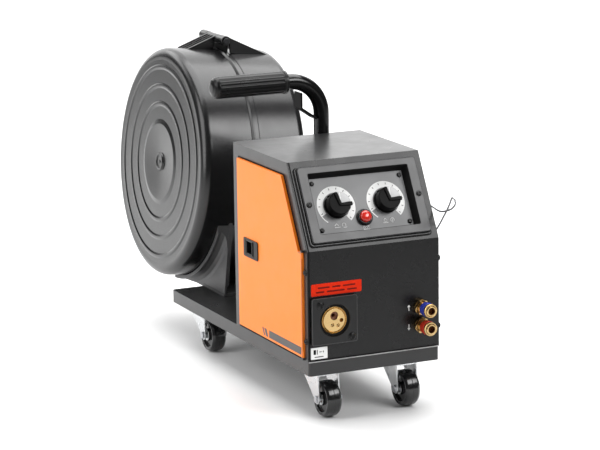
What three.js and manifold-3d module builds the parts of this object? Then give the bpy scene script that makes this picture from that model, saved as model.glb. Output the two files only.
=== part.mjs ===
// Wire feeder on four swivel casters: a tray carries the sheet-metal feeder housing in front
// and a hinged drum case for the wire spool behind it.
// Units are millimetres. +Z is up, -Y is the front, +X is to the right seen from the front.
// The drawing frame has X = 0 on the middle plane, Y = 0 at the tray's front and Z = 0 on the floor;
// the last lines move the whole group so that its bounding box stands centred on the origin.
import * as THREE from "three";
import { mergeVertices } from "three/addons/utils/BufferGeometryUtils.js";
import Module from "manifold-3d";

const wasm = await Module();
wasm.setup();

// ---------- driving dimensions ----------
const GAP = 0.3; // running gap between pieces that touch
const SHEET = 2; // housing sheet thickness

const TRAY = { width: 194.8, length: 480, bottom: 65.3, top: 83.7 };
const HOUSING = { half: 98, front: 1, rear: 240, shoulder: 235, slopeTop: 61, top: 345 };
const FLOOR_OF_HOUSING = TRAY.top + 0.4;

const CASTER = {
  x: 59, frontAxle: 26, rearAxle: 418, trail: 19, wheelRadius: 25, wheelWidth: 21, plateTop: 65,
};
const DOOR = { outer: -102.3, sheet: 1.6, inner: -98.5, hingeX: -100.6, hingeY: 11.2 };
const DIAL = { x: 37, s: 61.5, knobRadius: 19.5 };
const PANEL_DEPTH = 9; // the control plate lies this far below the sloping face
const BUTTON = { x: 0, s: 41.5, radius: 8.1 };
const TORCH = { x: -60.4, z: 139.4 };
const WIRE = { x: -60.3, z: 145.1 }; // line that the welding wire runs along
const COUPLER = { x: 69, supplyZ: 143, returnZ: 118 };
const HANDLE = { x: 44, y: 253.5, z: 420, radius: 11, bend: 48, gripLeft: -124, gripRight: -11 };
const DRUM = {
  y: 556, z: 256, lean: 5, radius: 170.5, half: 83, corner: 14, wall: 3, seam: -3.1, hingeZ: 186.5,
};
const FOOT = { wallX: 33, flareX: 50, front: -157, wall: 4, shelfZ: 197 };
const SPOOL = { flange: 149, barrel: 60, bore: 26, half: 50 };
const GEAR = { module: 5 / 3, driveTeeth: 15, rollTeeth: 21 };
const ROLL = { feed: 18, press: 14, width: 12, wireRadius: 0.7, frontY: 105, rearY: 155 };

// ---------- solids ----------
// A closed three.js geometry as a manifold solid, with its faces turned outwards.
function solid(geometry) {
  const plain = new THREE.BufferGeometry();
  plain.setAttribute("position", geometry.getAttribute("position").clone());
  if (geometry.index) plain.setIndex(geometry.index.clone());
  const merged = mergeVertices(plain, 1e-4);
  const points = merged.getAttribute("position").array;
  const index = Array.from(merged.index.array);
  const kept = [];
  let volume = 0;
  for (let i = 0; i < index.length; i += 3) {
    const [a, b, c] = index.slice(i, i + 3);
    if (a === b || b === c || a === c) continue;
    kept.push(a, b, c);
    const [p, q, r] = [a, b, c].map((k) => new THREE.Vector3().fromArray(points, 3 * k));
    volume += p.dot(q.cross(r));
  }
  if (volume < 0) {
    for (let i = 0; i < kept.length; i += 3) {
      [kept[i], kept[i + 1]] = [kept[i + 1], kept[i]];
    }
  }
  const mesh = new wasm.Mesh({
    numProp: 3,
    vertProperties: new Float32Array(points),
    triVerts: new Uint32Array(kept),
  });
  return new wasm.Manifold(mesh);
}

function geometryOf(manifold) {
  const mesh = manifold.getMesh();
  const geometry = new THREE.BufferGeometry();
  geometry.setAttribute("position", new THREE.BufferAttribute(mesh.vertProperties, 3));
  geometry.setIndex(new THREE.BufferAttribute(mesh.triVerts, 1));
  geometry.computeVertexNormals();
  return geometry;
}

const join = (...pieces) => pieces.reduce((whole, piece) => whole.add(piece));
const cut = (whole, ...holes) => holes.reduce((rest, hole) => rest.subtract(hole), whole);

function box(x, y, z) {
  const geometry = new THREE.BoxGeometry(x[1] - x[0], y[1] - y[0], z[1] - z[0]);
  geometry.translate((x[0] + x[1]) / 2, (y[0] + y[1]) / 2, (z[0] + z[1]) / 2);
  return solid(geometry);
}

// Cylinder along an axis: span is [from, to] on that axis and at holds the other two coordinates,
// in X, Y, Z order.
function rod(axis, radius, span, at, segments = 14) {
  const geometry = new THREE.CylinderGeometry(radius, radius, span[1] - span[0], segments);
  const middle = (span[0] + span[1]) / 2;
  if (axis === "x") {
    geometry.rotateZ(-Math.PI / 2);
    geometry.translate(middle, at[0], at[1]);
  } else if (axis === "y") {
    geometry.translate(at[0], middle, at[1]);
  } else {
    geometry.rotateX(Math.PI / 2);
    geometry.translate(at[0], at[1], middle);
  }
  return solid(geometry);
}

// Turned piece: profile points are [radius, distance along the axis].
function turned(axis, profile, at = [0, 0], segments = 20) {
  const points = profile.map(([radius, along]) => new THREE.Vector2(radius, along));
  const geometry = new THREE.LatheGeometry(points, segments);
  if (axis === "x") {
    geometry.rotateZ(-Math.PI / 2);
    geometry.translate(0, at[0], at[1]);
  } else if (axis === "y") {
    geometry.translate(at[0], 0, at[1]);
  } else {
    geometry.rotateX(Math.PI / 2);
    geometry.translate(at[0], at[1], 0);
  }
  return solid(geometry);
}

// Outline extruded square to a plane. "yz" outlines rise along X, "xz" along -Y and "xy" along Z.
const PLANES = {
  yz: [new THREE.Vector3(0, 1, 0), new THREE.Vector3(0, 0, 1), new THREE.Vector3(1, 0, 0)],
  xz: [new THREE.Vector3(1, 0, 0), new THREE.Vector3(0, 0, 1), new THREE.Vector3(0, -1, 0)],
  xy: [new THREE.Vector3(1, 0, 0), new THREE.Vector3(0, 1, 0), new THREE.Vector3(0, 0, 1)],
};
function slab(plane, outline, from, to, curveSegments = 6) {
  const shape = outline instanceof THREE.Shape
    ? outline
    : new THREE.Shape(outline.map(([u, v]) => new THREE.Vector2(u, v)));
  const geometry = new THREE.ExtrudeGeometry(shape, {
    depth: Math.abs(to - from), bevelEnabled: false, curveSegments,
  });
  const start = plane === "xz" ? Math.max(from, to) : Math.min(from, to);
  const axis = { yz: [1, 0, 0], xz: [0, 1, 0], xy: [0, 0, 1] }[plane];
  geometry.applyMatrix4(new THREE.Matrix4().makeBasis(...PLANES[plane]));
  geometry.translate(...axis.map((a) => a * start));
  return solid(geometry);
}

function roundedRectangle(u, v, radius) {
  const shape = new THREE.Shape();
  shape.moveTo(u[0] + radius, v[0]);
  shape.lineTo(u[1] - radius, v[0]);
  shape.absarc(u[1] - radius, v[0] + radius, radius, -Math.PI / 2, 0);
  shape.lineTo(u[1], v[1] - radius);
  shape.absarc(u[1] - radius, v[1] - radius, radius, 0, Math.PI / 2);
  shape.lineTo(u[0] + radius, v[1]);
  shape.absarc(u[0] + radius, v[1] - radius, radius, Math.PI / 2, Math.PI);
  shape.lineTo(u[0], v[0] + radius);
  shape.absarc(u[0] + radius, v[0] + radius, radius, Math.PI, 1.5 * Math.PI);
  return shape;
}

// Points joined by straight runs with an arc of the bend radius at each corner.
function bentPath(points, bend) {
  const corners = points.map((p) => new THREE.Vector3(...p));
  const path = new THREE.CurvePath();
  let last = corners[0];
  for (let i = 1; i < corners.length - 1; i++) {
    const before = corners[i - 1].clone().sub(corners[i]).normalize();
    const after = corners[i + 1].clone().sub(corners[i]).normalize();
    const turn = Math.PI - before.angleTo(after);
    const setBack = bend * Math.tan(turn / 2);
    const pull = (4 / 3) * Math.tan(turn / 4) * bend;
    const enter = corners[i].clone().addScaledVector(before, setBack);
    const leave = corners[i].clone().addScaledVector(after, setBack);
    path.add(new THREE.LineCurve3(last, enter));
    const pullIn = enter.clone().addScaledVector(before, -pull);
    const pullOut = leave.clone().addScaledVector(after, -pull);
    path.add(new THREE.CubicBezierCurve3(enter, pullIn, pullOut, leave));
    last = leave;
  }
  path.add(new THREE.LineCurve3(last, corners.at(-1)));
  return path;
}

// Round bar along a path.
function roundBar(path, radius, steps, sides = 12) {
  const section = new THREE.Shape();
  section.absarc(0, 0, radius, 0, 2 * Math.PI);
  const sectionPoints = section.getSpacedPoints(sides).slice(0, sides);
  const geometry = new THREE.ExtrudeGeometry(new THREE.Shape(sectionPoints), {
    extrudePath: path, steps, bevelEnabled: false,
  });
  return solid(geometry);
}

// Spur gear blank with straight-sided teeth, as an outline in the Y-Z plane around a centre.
function gearOutline(teeth, phase, [cy, cz]) {
  const pitchRadius = (GEAR.module * teeth) / 2;
  const tip = pitchRadius + 0.9 * GEAR.module;
  const root = pitchRadius - 1.25 * GEAR.module;
  const step = (2 * Math.PI) / teeth;
  const corners = [[root, -0.3], [tip, -0.13], [tip, 0.13], [root, 0.3]];
  const outline = [];
  for (let tooth = 0; tooth < teeth; tooth++) {
    for (const [radius, share] of corners) {
      const angle = phase + (tooth + share) * step;
      outline.push([cy + radius * Math.cos(angle), cz + radius * Math.sin(angle)]);
    }
  }
  return outline;
}

// ---------- materials and groups ----------
function material(color, roughness, metalness = 0) {
  return new THREE.MeshStandardMaterial({ color, roughness, metalness });
}
const paint = {
  dark: material(0x2b2b2c, 0.5),
  orange: material(0xff9a4d, 0.45),
  grey: material(0x8f8f90, 0.5),
  blackPlastic: material(0x1b1b1b, 0.4),
  darkPlastic: material(0x3a3a3a, 0.45),
  red: material(0xc62a10, 0.3),
  brass: material(0xd9a441, 0.3, 1),
  zinc: material(0xc8c8c6, 0.35, 1),
  steel: material(0x9a9a98, 0.35, 1),
  aluminium: material(0xb4b5b6, 0.4, 1),
  rubber: material(0x151515, 0.65),
  wire: material(0xb06a3a, 0.3, 1),
};

const feeder = new THREE.Group();
const slope = new THREE.Group(); // local X right, Y up the sloping face, Z out of it
const slopeRise = HOUSING.top - HOUSING.shoulder;
const slopeRun = HOUSING.slopeTop - HOUSING.front;
const SLOPE_ANGLE = Math.atan2(slopeRise, slopeRun);
slope.position.set(0, HOUSING.front, HOUSING.shoulder);
slope.rotation.x = SLOPE_ANGLE;
const drum = new THREE.Group(); // local X along the spool's axle, leaning to the right
drum.position.set(0, DRUM.y, DRUM.z);
drum.rotation.y = THREE.MathUtils.degToRad(DRUM.lean);
feeder.add(slope, drum);

function add(group, name, manifold, look) {
  const mesh = new THREE.Mesh(geometryOf(manifold), look);
  mesh.name = name;
  group.add(mesh);
}

// ---------- tray ----------
function addTray() {
  const half = TRAY.width / 2;
  const outline = (inset) =>
    roundedRectangle([-half + inset, half - inset], [inset, TRAY.length - inset], 4 - inset);
  const pan = cut(
    slab("xy", outline(0), TRAY.bottom, TRAY.top, 3),
    slab("xy", outline(SHEET), TRAY.bottom - 1, TRAY.top - SHEET, 3),
  );
  // Two channels welded across the pan take the caster plates.
  const channels = [CASTER.frontAxle, CASTER.rearAxle].map((axle) => {
    const middle = axle + CASTER.trail;
    const span = [Math.max(middle - 36, 6), Math.min(middle + 36, TRAY.length - 6)];
    const x = [-half + 1, half - 1];
    return join(
      box(x, span, [TRAY.bottom, TRAY.bottom + SHEET]),
      box(x, [span[0], span[0] + SHEET], [TRAY.bottom, TRAY.top - 5]),
      box(x, [span[1] - SHEET, span[1]], [TRAY.bottom, TRAY.top - 5]),
    );
  });
  add(feeder, "base_tray", join(pan, ...channels), paint.dark);
}

// ---------- casters ----------
function addCaster(name, x, axleY) {
  const swivelY = axleY + CASTER.trail;
  const axleZ = CASTER.wheelRadius;
  const top = CASTER.plateTop;
  // Fixed plate with the bearing cone and the king pin.
  const cone = [[0, top - 2], [19, top - 2], [19, top - 4], [15, top - 5.7], [0, top - 5.7]];
  const plate = join(
    slab("xy", roundedRectangle([x - 30, x + 30], [swivelY - 26, swivelY + 26], 4), top - 2.5, top, 2),
    turned("z", cone, [x, swivelY], 12),
    rod("z", 4.6, [top - 12, top - 3], [x, swivelY], 8),
    turned("z", [[0, top - 12.5], [7, top - 12], [8, top - 8.5], [0, top - 8.5]], [x, swivelY], 8),
  );
  add(feeder, `${name}_plate`, plate, paint.zinc);

  // Fork: round crown with a raised race and two legs that taper to the axle.
  const crownTop = top - 6;
  const crown = [swivelY - 22.5, swivelY + 22.5];
  const leg = new THREE.Shape();
  leg.moveTo(crown[1], crownTop);
  leg.lineTo(crown[0], crownTop);
  leg.lineTo(axleY - 9, axleZ + 3);
  leg.absarc(axleY, axleZ, 9, Math.PI * 0.95, Math.PI * 1.9);
  leg.lineTo(crown[1] - 1, crownTop - 7);
  const crownPlate = slab("xy", roundedRectangle([x - 16, x + 16], crown, 6), crownTop - 2.2, crownTop, 2);
  const fork = cut(
    join(
      crownPlate,
      slab("yz", leg, x - 16, x - 13.8, 3),
      slab("yz", leg, x + 13.8, x + 16, 3),
    ),
    rod("z", 5.4, [crownTop - 5, crownTop + 5], [x, swivelY], 8),
    rod("x", 4.4, [x - 20, x + 20], [axleY, axleZ], 10),
  );
  add(feeder, `${name}_fork`, fork, paint.zinc);

  // Wheel with a rounded tread and a recess round the hub on both sides.
  const half = CASTER.wheelWidth / 2;
  const rim = CASTER.wheelRadius;
  const side = (s) => [[8.4, s * half], [8.4, s * (half - 4)], [19, s * (half - 4)], [19.5, s * half]];
  const profile = [
    [4.35, -half], ...side(-1), [rim - 2.2, -half], [rim, -half + 2.6],
    [rim, half - 2.6], [rim - 2.2, half], ...side(1).reverse(), [4.35, half], [4.35, -half],
  ];
  const wheel = turned("x", profile, [axleY, axleZ], 16).translate([x, 0, 0]);
  add(feeder, `${name}_wheel`, wheel, paint.blackPlastic);

  const axle = join(
    rod("x", 4, [x - 17, x + 17], [axleY, axleZ], 10),
    rod("x", 6.5, [x - 20.5, x - 16.4], [axleY, axleZ], 6),
    rod("x", 6.5, [x + 16.4, x + 20.5], [axleY, axleZ], 6),
  );
  add(feeder, `${name}_axle`, axle, paint.zinc);
}

// ---------- housing ----------
const ALONG = [Math.cos(SLOPE_ANGLE), Math.sin(SLOPE_ANGLE)]; // up the slope, in Y and Z
// Height of a line that lies a given depth below the sloping face, at a given Y.
function slopeHeight(y, depth) {
  const startY = HOUSING.front + depth * ALONG[1];
  const startZ = HOUSING.shoulder - depth * ALONG[0];
  return startZ + ((y - startY) * ALONG[1]) / ALONG[0];
}
// A block drawn in the slope's own axes, moved into the drawing frame.
function ontoSlope(manifold) {
  return manifold
    .rotate([THREE.MathUtils.radToDeg(SLOPE_ANGLE), 0, 0])
    .translate([0, HOUSING.front, HOUSING.shoulder]);
}

function addFrontPanel() {
  const { half, front, shoulder, slopeTop, top } = HOUSING;
  const end = slopeTop + 1.8;
  const outline = [
    [front, FLOOR_OF_HOUSING], [front, shoulder], [slopeTop, top], [end, top],
    [end, slopeHeight(end, SHEET)], [front + SHEET, slopeHeight(front + SHEET, SHEET)],
    [front + SHEET, FLOOR_OF_HOUSING],
  ];
  const panel = cut(
    slab("yz", outline, -half, half),
    ontoSlope(box([-77.6, 77.6], [17.5, 109.3], [-6, 6])),
    rod("y", 23, [-5, 10], [TORCH.x, TORCH.z], 24),
    rod("y", 8.3, [-5, 10], [COUPLER.x, COUPLER.supplyZ], 14),
    rod("y", 8.3, [-5, 10], [COUPLER.x, COUPLER.returnZ], 14),
  );
  add(feeder, "front_panel", panel, paint.dark);
}

const DOOR_OUTLINE = [[10, 90], [10, 233], [21, 233], [72.5, 326.5], [219, 326.5], [219, 90]];

function addHousingCover() {
  const { half, rear, top } = HOUSING;
  const front = HOUSING.front + SHEET + GAP;
  const topFront = HOUSING.slopeTop + 2.2;
  const depth = SHEET + GAP;
  const side = [
    [front, FLOOR_OF_HOUSING], [front, slopeHeight(front, depth)],
    [topFront, slopeHeight(topFront, depth)], [topFront, top], [rear, top], [rear, FLOOR_OF_HOUSING],
  ];
  const doorway = [[19, 97], [19, 222], [76.5, 318], [211, 318], [211, 97]];
  const shell = cut(
    join(
      slab("yz", side, -half, -half + SHEET),
      slab("yz", side, half - SHEET, half),
      box([-half, half], [topFront, rear], [top - SHEET, top]),
    ),
    slab("yz", doorway, -half - 5, -half + 5),
  );
  // Two ears carry the door's hinge pins.
  const { hingeX, hingeY } = DOOR;
  const ears = [[233.4, 235.6, 226], [86.4, 89.6, 97]].map(([low, high, pinEnd]) =>
    join(
      box([hingeX - 2, -half + 1], [hingeY - 2, hingeY + 2.4], [low, high]),
      rod("z", 0.95, [Math.min(pinEnd, low + 1), Math.max(pinEnd, high - 1)], [hingeX, hingeY], 10),
    ),
  );
  add(feeder, "housing_cover", join(shell, ...ears), paint.dark);
}

function addRearPanel() {
  const inside = HOUSING.half - SHEET - GAP;
  const { rear, top } = HOUSING;
  const sheet = box([-inside, inside], [rear - 2.3, rear - 0.3], [FLOOR_OF_HOUSING, top - SHEET - GAP]);
  const panel = cut(
    sheet,
    rod("y", 7.3, [rear - 9, rear + 5], [WIRE.x, WIRE.z], 14),
    rod("y", 13.3, [rear - 9, rear + 5], [SUPPLY.x, SUPPLY.z], 16),
  );
  add(feeder, "rear_panel", panel, paint.dark);
}

const PARTITION = { x: -26, sheet: 2 };
function addPartition() {
  const top = HOUSING.top - SHEET - GAP;
  const front = HOUSING.front + SHEET + GAP;
  const depth = 30; // keeps clear of the control plate and the knob shafts
  const outline = [
    [front, FLOOR_OF_HOUSING], [front, slopeHeight(front, depth)],
    [(top - slopeHeight(0, depth)) * (ALONG[0] / ALONG[1]), top],
    [HOUSING.rear - 2.6, top], [HOUSING.rear - 2.6, FLOOR_OF_HOUSING],
  ];
  const plate = cut(
    slab("yz", outline, PARTITION.x - PARTITION.sheet, PARTITION.x),
    rod("x", 8, [-40, 0], [DRIVE.y, DRIVE.z], 16),
  );
  add(feeder, "partition_plate", plate, paint.grey);
}

// ---------- controls on the sloping face ----------
function addControls() {
  const outer = roundedRectangle([-88.2, 88.2], [9.3, 115.7], 4);
  const face = 4.3;
  const back = -PANEL_DEPTH + GAP;
  const opening = { x: 74.8, low: 20.5, high: 106.5 };
  const floor = { x: 70.6, low: 24, high: 102.6 };
  // The opening narrows towards the control plate: a square frustum.
  const funnel = frustum(opening, face + 0.01, floor, back - 0.01);
  const bezel = cut(
    join(
      slab("xy", outer, GAP, face, 3),
      box([-77.3, 77.3], [17.8, 109], [back, GAP + 1]),
    ),
    funnel,
  );
  add(slope, "control_bezel", bezel, paint.darkPlastic);

  const plateTop = -PANEL_DEPTH;
  const plate = cut(
    box([-77.3, 77.3], [17.8, 109], [plateTop - 2, plateTop]),
    rod("z", 3.4, [plateTop - 5, plateTop + 5], [-DIAL.x, DIAL.s], 14),
    rod("z", 3.4, [plateTop - 5, plateTop + 5], [DIAL.x, DIAL.s], 14),
    rod("z", 4.4, [plateTop - 5, plateTop + 5], [BUTTON.x, BUTTON.s], 14),
  );
  add(slope, "control_plate", plate, paint.grey);

  for (const [name, x] of [["voltage_knob", -DIAL.x], ["speed_knob", DIAL.x]]) {
    const base = plateTop + 0.5;
    const r = DIAL.knobRadius;
    const top = base + 7;
    const skirt = [[0, base], [r, base], [r, base + 4], [r - 2, top - 0.5], [r - 4, top], [0, top]];
    const wing = slab("xy", roundedRectangle([-5.5, 5.5], [-r + 2, r - 0.5], 3), base + 5, base + 17, 3);
    const knob = join(
      turned("z", skirt, [x, DIAL.s], 24),
      wing.rotate([0, 0, 40]).translate([x, DIAL.s, 0]),
      rod("z", 3, [plateTop - 14, base + 1], [x, DIAL.s], 14),
    );
    add(slope, name, knob, paint.blackPlastic);
  }

  const { x, s, radius } = BUTTON;
  const ring = [
    [radius + GAP, plateTop + GAP], [10, plateTop + GAP], [10, plateTop + 4], [9, plateTop + 5],
    [radius + GAP, plateTop + 5], [radius + GAP, plateTop + GAP],
  ];
  add(slope, "test_button_bezel", turned("z", ring, [x, s], 20), paint.blackPlastic);
  const domeFoot = plateTop + 3.6;
  const dome = [[0, domeFoot], [radius, domeFoot], [radius, domeFoot + 3]];
  for (let i = 1; i <= 3; i++) {
    const angle = (i * Math.PI) / 6;
    dome.push([radius * Math.cos(angle), domeFoot + 3 + 3.5 * Math.sin(angle)]);
  }
  dome.at(-1)[0] = 0;
  const button = join(
    turned("z", dome, [x, s], 20),
    rod("z", 4, [plateTop - 8, domeFoot + 1], [x, s], 14),
  );
  add(slope, "test_button", button, paint.red);
}

// Solid between two rectangles that lie square to Z at two heights.
function frustum(upper, upperZ, lower, lowerZ) {
  const corner = (r, z) => [[-r.x, r.low, z], [r.x, r.low, z], [r.x, r.high, z], [-r.x, r.high, z]];
  const geometry = new THREE.BufferGeometry();
  const points = [...corner(lower, lowerZ), ...corner(upper, upperZ)].flat();
  geometry.setAttribute("position", new THREE.BufferAttribute(new Float32Array(points), 3));
  const faces = [0, 2, 1, 0, 3, 2, 4, 5, 6, 4, 6, 7];
  for (let i = 0; i < 4; i++) {
    const next = (i + 1) % 4;
    faces.push(i, next, next + 4, i, next + 4, i + 4);
  }
  geometry.setIndex(faces);
  return solid(geometry);
}

// ---------- connections on the front ----------
function addTorchSocket() {
  const { x, z } = TORCH;
  const plate = slab("xz", roundedRectangle([x - 34, x + 33], [z - 31.8, z + 32.6], 3), -4.3, 0.7, 3);
  add(feeder, "torch_flange", cut(plate, rod("y", 21.6, [-9, 5], [x, z], 24)), paint.blackPlastic);

  const body = join(
    turned("y", [[0, -1.5], [17.9, -1.5], [18.5, -0.9], [18.5, 13], [21, 13], [21, 17], [0, 17]], [x, z], 24),
    rod("y", 10, [16, 62], [WIRE.x, WIRE.z], 14),
  );
  const contacts = [[10.5, -1.2], [5.1, -7.6], [-3.1, -6.4]];
  const socket = cut(
    body,
    rod("y", 5.5, [-5, 40], [WIRE.x, WIRE.z], 14),
    rod("y", 1.8, [30, 70], [WIRE.x, WIRE.z], 8),
    ...contacts.map(([dx, dz]) => rod("y", 2.6, [-5, 9], [x + dx, z + dz], 8)),
  );
  add(feeder, "torch_socket", socket, paint.brass);
}

function addCoupler(name, z) {
  const x = COUPLER.x;
  const barrel = [
    [0, 22], [7.8, 22], [7.8, 0.7], [10.4, 0.7], [10.4, -9], [7.4, -9.5], [7.4, -32.5], [6.6, -33.3],
    [0, -33.3],
  ];
  const body = cut(turned("y", barrel, [x, z], 16), rod("y", 4.6, [-40, -8], [x, z], 12));
  add(feeder, `${name}_coupler_body`, body, paint.brass);
  const ring = [
    [7.75, -31.5], [8.7, -31.5], [9.3, -30.8], [9.3, -16.2], [8.7, -15.5], [7.75, -15.5], [7.75, -31.5],
  ];
  add(feeder, `${name}_coupler_sleeve`, turned("y", ring, [x, z], 16), paint.brass);
}

const SUPPLY = { x: -6, z: 180 };
function addSupplySocket() {
  const { rear } = HOUSING;
  const profile = [
    [0, rear - 22], [12.9, rear - 22], [12.9, rear], [20, rear], [20, rear + 4], [14.5, rear + 4.6],
    [14.5, rear + 24], [12.5, rear + 24], [12.5, rear + 8], [4, rear + 8], [4, rear + 21], [0, rear + 21],
  ];
  add(feeder, "supply_socket", turned("y", profile, [SUPPLY.x, SUPPLY.z], 18), paint.blackPlastic);
}

// ---------- side door ----------
function addDoor() {
  const { outer, sheet, inner, hingeX, hingeY } = DOOR;
  const inset = [[11.6, 91.6], [11.6, 231.4], [21.95, 231.4], [73.45, 324.9], [217.4, 324.9], [217.4, 91.6]];
  const leaf = join(
    cut(
      slab("yz", DOOR_OUTLINE, outer, inner),
      slab("yz", inset, outer + sheet, inner + 1),
      box([outer - 1, inner], [152, 192], [195.5, 218.5]),
    ),
    rod("z", 2, [90, 98], [hingeX, hingeY], 12),
    rod("z", 2, [225, 233], [hingeX, hingeY], 12),
  );
  const pinHoles = [[89, 98.5], [224.5, 234]].map((span) => rod("z", 1.3, span, [hingeX, hingeY], 10));
  const door = cut(leaf, ...pinHoles);
  add(feeder, "side_door", door, paint.orange);

  const frame = cut(
    slab("yz", roundedRectangle([149.8, 197], [193, 219.5], 3), outer - 1.8, outer - GAP, 3),
    slab("yz", roundedRectangle([161, 189.2], [196.8, 217.2], 0.4), outer - 3, outer + 1, 2),
  );
  add(feeder, "latch_frame", frame, paint.grey);

  // Finger cup, cover slide and bolt in one piece.
  const slider = cut(
    join(
      box([-103.6, -93], [168.2, 188.9], [197.1, 216.9]),
      box([-102.1, -100.9], [158.5, 169], [197.1, 216.9]),
      box([-95.4, -93], [180, 210.4], [201, 213]),
    ),
    box([-105, -95], [170, 187.1], [198.6, 215.4]),
  );
  add(feeder, "latch_slider", slider, paint.darkPlastic);
}

// ---------- handle ----------
function addHandle() {
  const { x, y, z, radius, bend, gripLeft, gripRight } = HANDLE;
  const foot = FLOOR_OF_HOUSING;
  const outside = bentPath([[x, y, foot], [x, y, z], [gripLeft + 5, y, z]], bend);
  const inside = bentPath([[x, y, foot - 3], [x, y, z], [gripLeft, y, z]], bend);
  const base = slab("xy", roundedRectangle([x - 28, x + 28], [y - 12.5, y + 15], 3), foot, foot + 4, 3);
  const tube = cut(join(roundBar(outside, radius, 20, 12), base), roundBar(inside, radius - 2, 20, 10));
  add(feeder, "handle_tube", tube, paint.dark);

  const grip = [
    [0, gripLeft], [8, gripLeft + 0.8], [13, gripLeft + 3], [15.5, gripLeft + 6.5], [15.5, gripRight - 4],
    [16.5, gripRight - 3.5], [16.5, gripRight - 0.5], [15.8, gripRight],
    [radius + 0.35, gripRight], [radius + 0.35, gripLeft + 4.5], [0, gripLeft + 4.5],
  ];
  add(feeder, "handle_grip", turned("x", grip, [y, z], 20), paint.rubber);

  const strap = [
    [7.5, 405.2], [7.5, 381.4], [32.3, 364.6], [32.3, 368.2], [10.5, 383], [10.5, 404],
  ];
  add(feeder, "handle_strap", slab("xz", strap, y - 11, y + 11), paint.dark);
}

// ---------- spool drum (drawn in the drum's leaning frame) ----------
// Section of one half of the drum shell, from the axis at the closed end to its open edge.
function shellProfile(closed, open) {
  const side = Math.sign(closed - open);
  const { radius, corner, wall } = DRUM;
  const arc = (r, centre, steps) =>
    Array.from({ length: steps + 1 }, (_, i) => {
      const angle = (i * Math.PI) / 2 / steps;
      return [radius - corner + r * Math.sin(angle), centre + side * r * Math.cos(angle)];
    });
  const centre = closed - side * corner;
  return [
    [0, closed], ...arc(corner, centre, 3), [radius, open],
    [radius - wall, open], ...arc(corner - wall, centre, 2).reverse(), [0, closed - side * wall],
  ];
}
// Web that fills the wedge between the hinge and the drum, as an outline in X-Z.
function hingeWeb(footX, footZ, side, y) {
  const outline = [
    [side * 1.2, DRUM.hingeZ + 7], [footX, footZ], [footX, footZ - 3],
    [side * 40, DRUM.radius - 6], [side * 8, DRUM.radius - 2], [side * 6.4, DRUM.hingeZ - 5],
  ];
  return slab("xz", outline, y[0], y[1]);
}

function addDrum() {
  const { radius, half, wall, seam, hingeZ } = DRUM;
  const inner = radius - wall;
  const hinge = [0, hingeZ];
  const segments = 36;

  // Swinging cover: the left half with its hinge barrel and two webs.
  const coverEdge = seam - 2.3;
  const space = [[0, -half + wall], [inner, -half + wall + 11], [inner, seam], [0, seam]];
  const hollow = turned("x", space, [0, 0], segments);
  const face = -half;
  const boss = [[0, face - 1.4], [12, face - 1.4], [13, face - 0.6], [13, face + 1], [0, face + 1]];
  const cover = cut(
    join(
      turned("x", shellProfile(-half, coverEdge), [0, 0], segments),
      cut(hingeWeb(-52, 169.6, -1, [-4, -0.5]), hollow),
      cut(hingeWeb(-52, 169.6, -1, [26, 29.5]), hollow),
      rod("y", 7.2, [-9, 32], hinge, 14),
      turned("x", boss, [0, 0], 16),
    ),
    rod("y", 3.4, [-12, 36], hinge, 14),
  );
  add(drum, "spool_cover", cover, paint.blackPlastic);

  // Fixed case: the right half with the seam bead, two knuckles and their webs.
  const bead = [
    [inner, seam - 2], [radius + 2.3, seam - 2], [radius + 2.3, seam + 2], [radius - 1, seam + 2],
    [radius - 1, seam + 12], [inner, seam + 12], [inner, seam - 2],
  ];
  const knuckles = [[-32, -9.4], [32.4, 55]];
  const wireExit = rod("y", 9, [-150, -80], [12, -130], 16);
  const caseShell = cut(
    join(
      turned("x", shellProfile(half, seam + 10), [0, 0], segments),
      turned("x", bead, [0, 0], segments),
      ...knuckles.map((span) => rod("y", 7.6, span, hinge, 14)),
      ...[[-32, -28], [51, 55]].map((y) => cut(hingeWeb(76, 164.5, 1, y), hollow.mirror([1, 0, 0]))),
    ),
    ...knuckles.map((span) => rod("y", 3.4, [span[0] - 1, span[1] + 1], hinge, 14)),
    wireExit,
    rod("x", 20.4, [half - 10, half + 5], [0, 0], 16),
  );
  add(drum, "spool_case", caseShell, paint.blackPlastic);

  const pin = join(rod("y", 3, [-33.5, 56.5], hinge, 14), rod("y", 5, [-35.5, -32.4], hinge, 14));
  add(drum, "cover_hinge_pin", pin, paint.steel);
}

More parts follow.
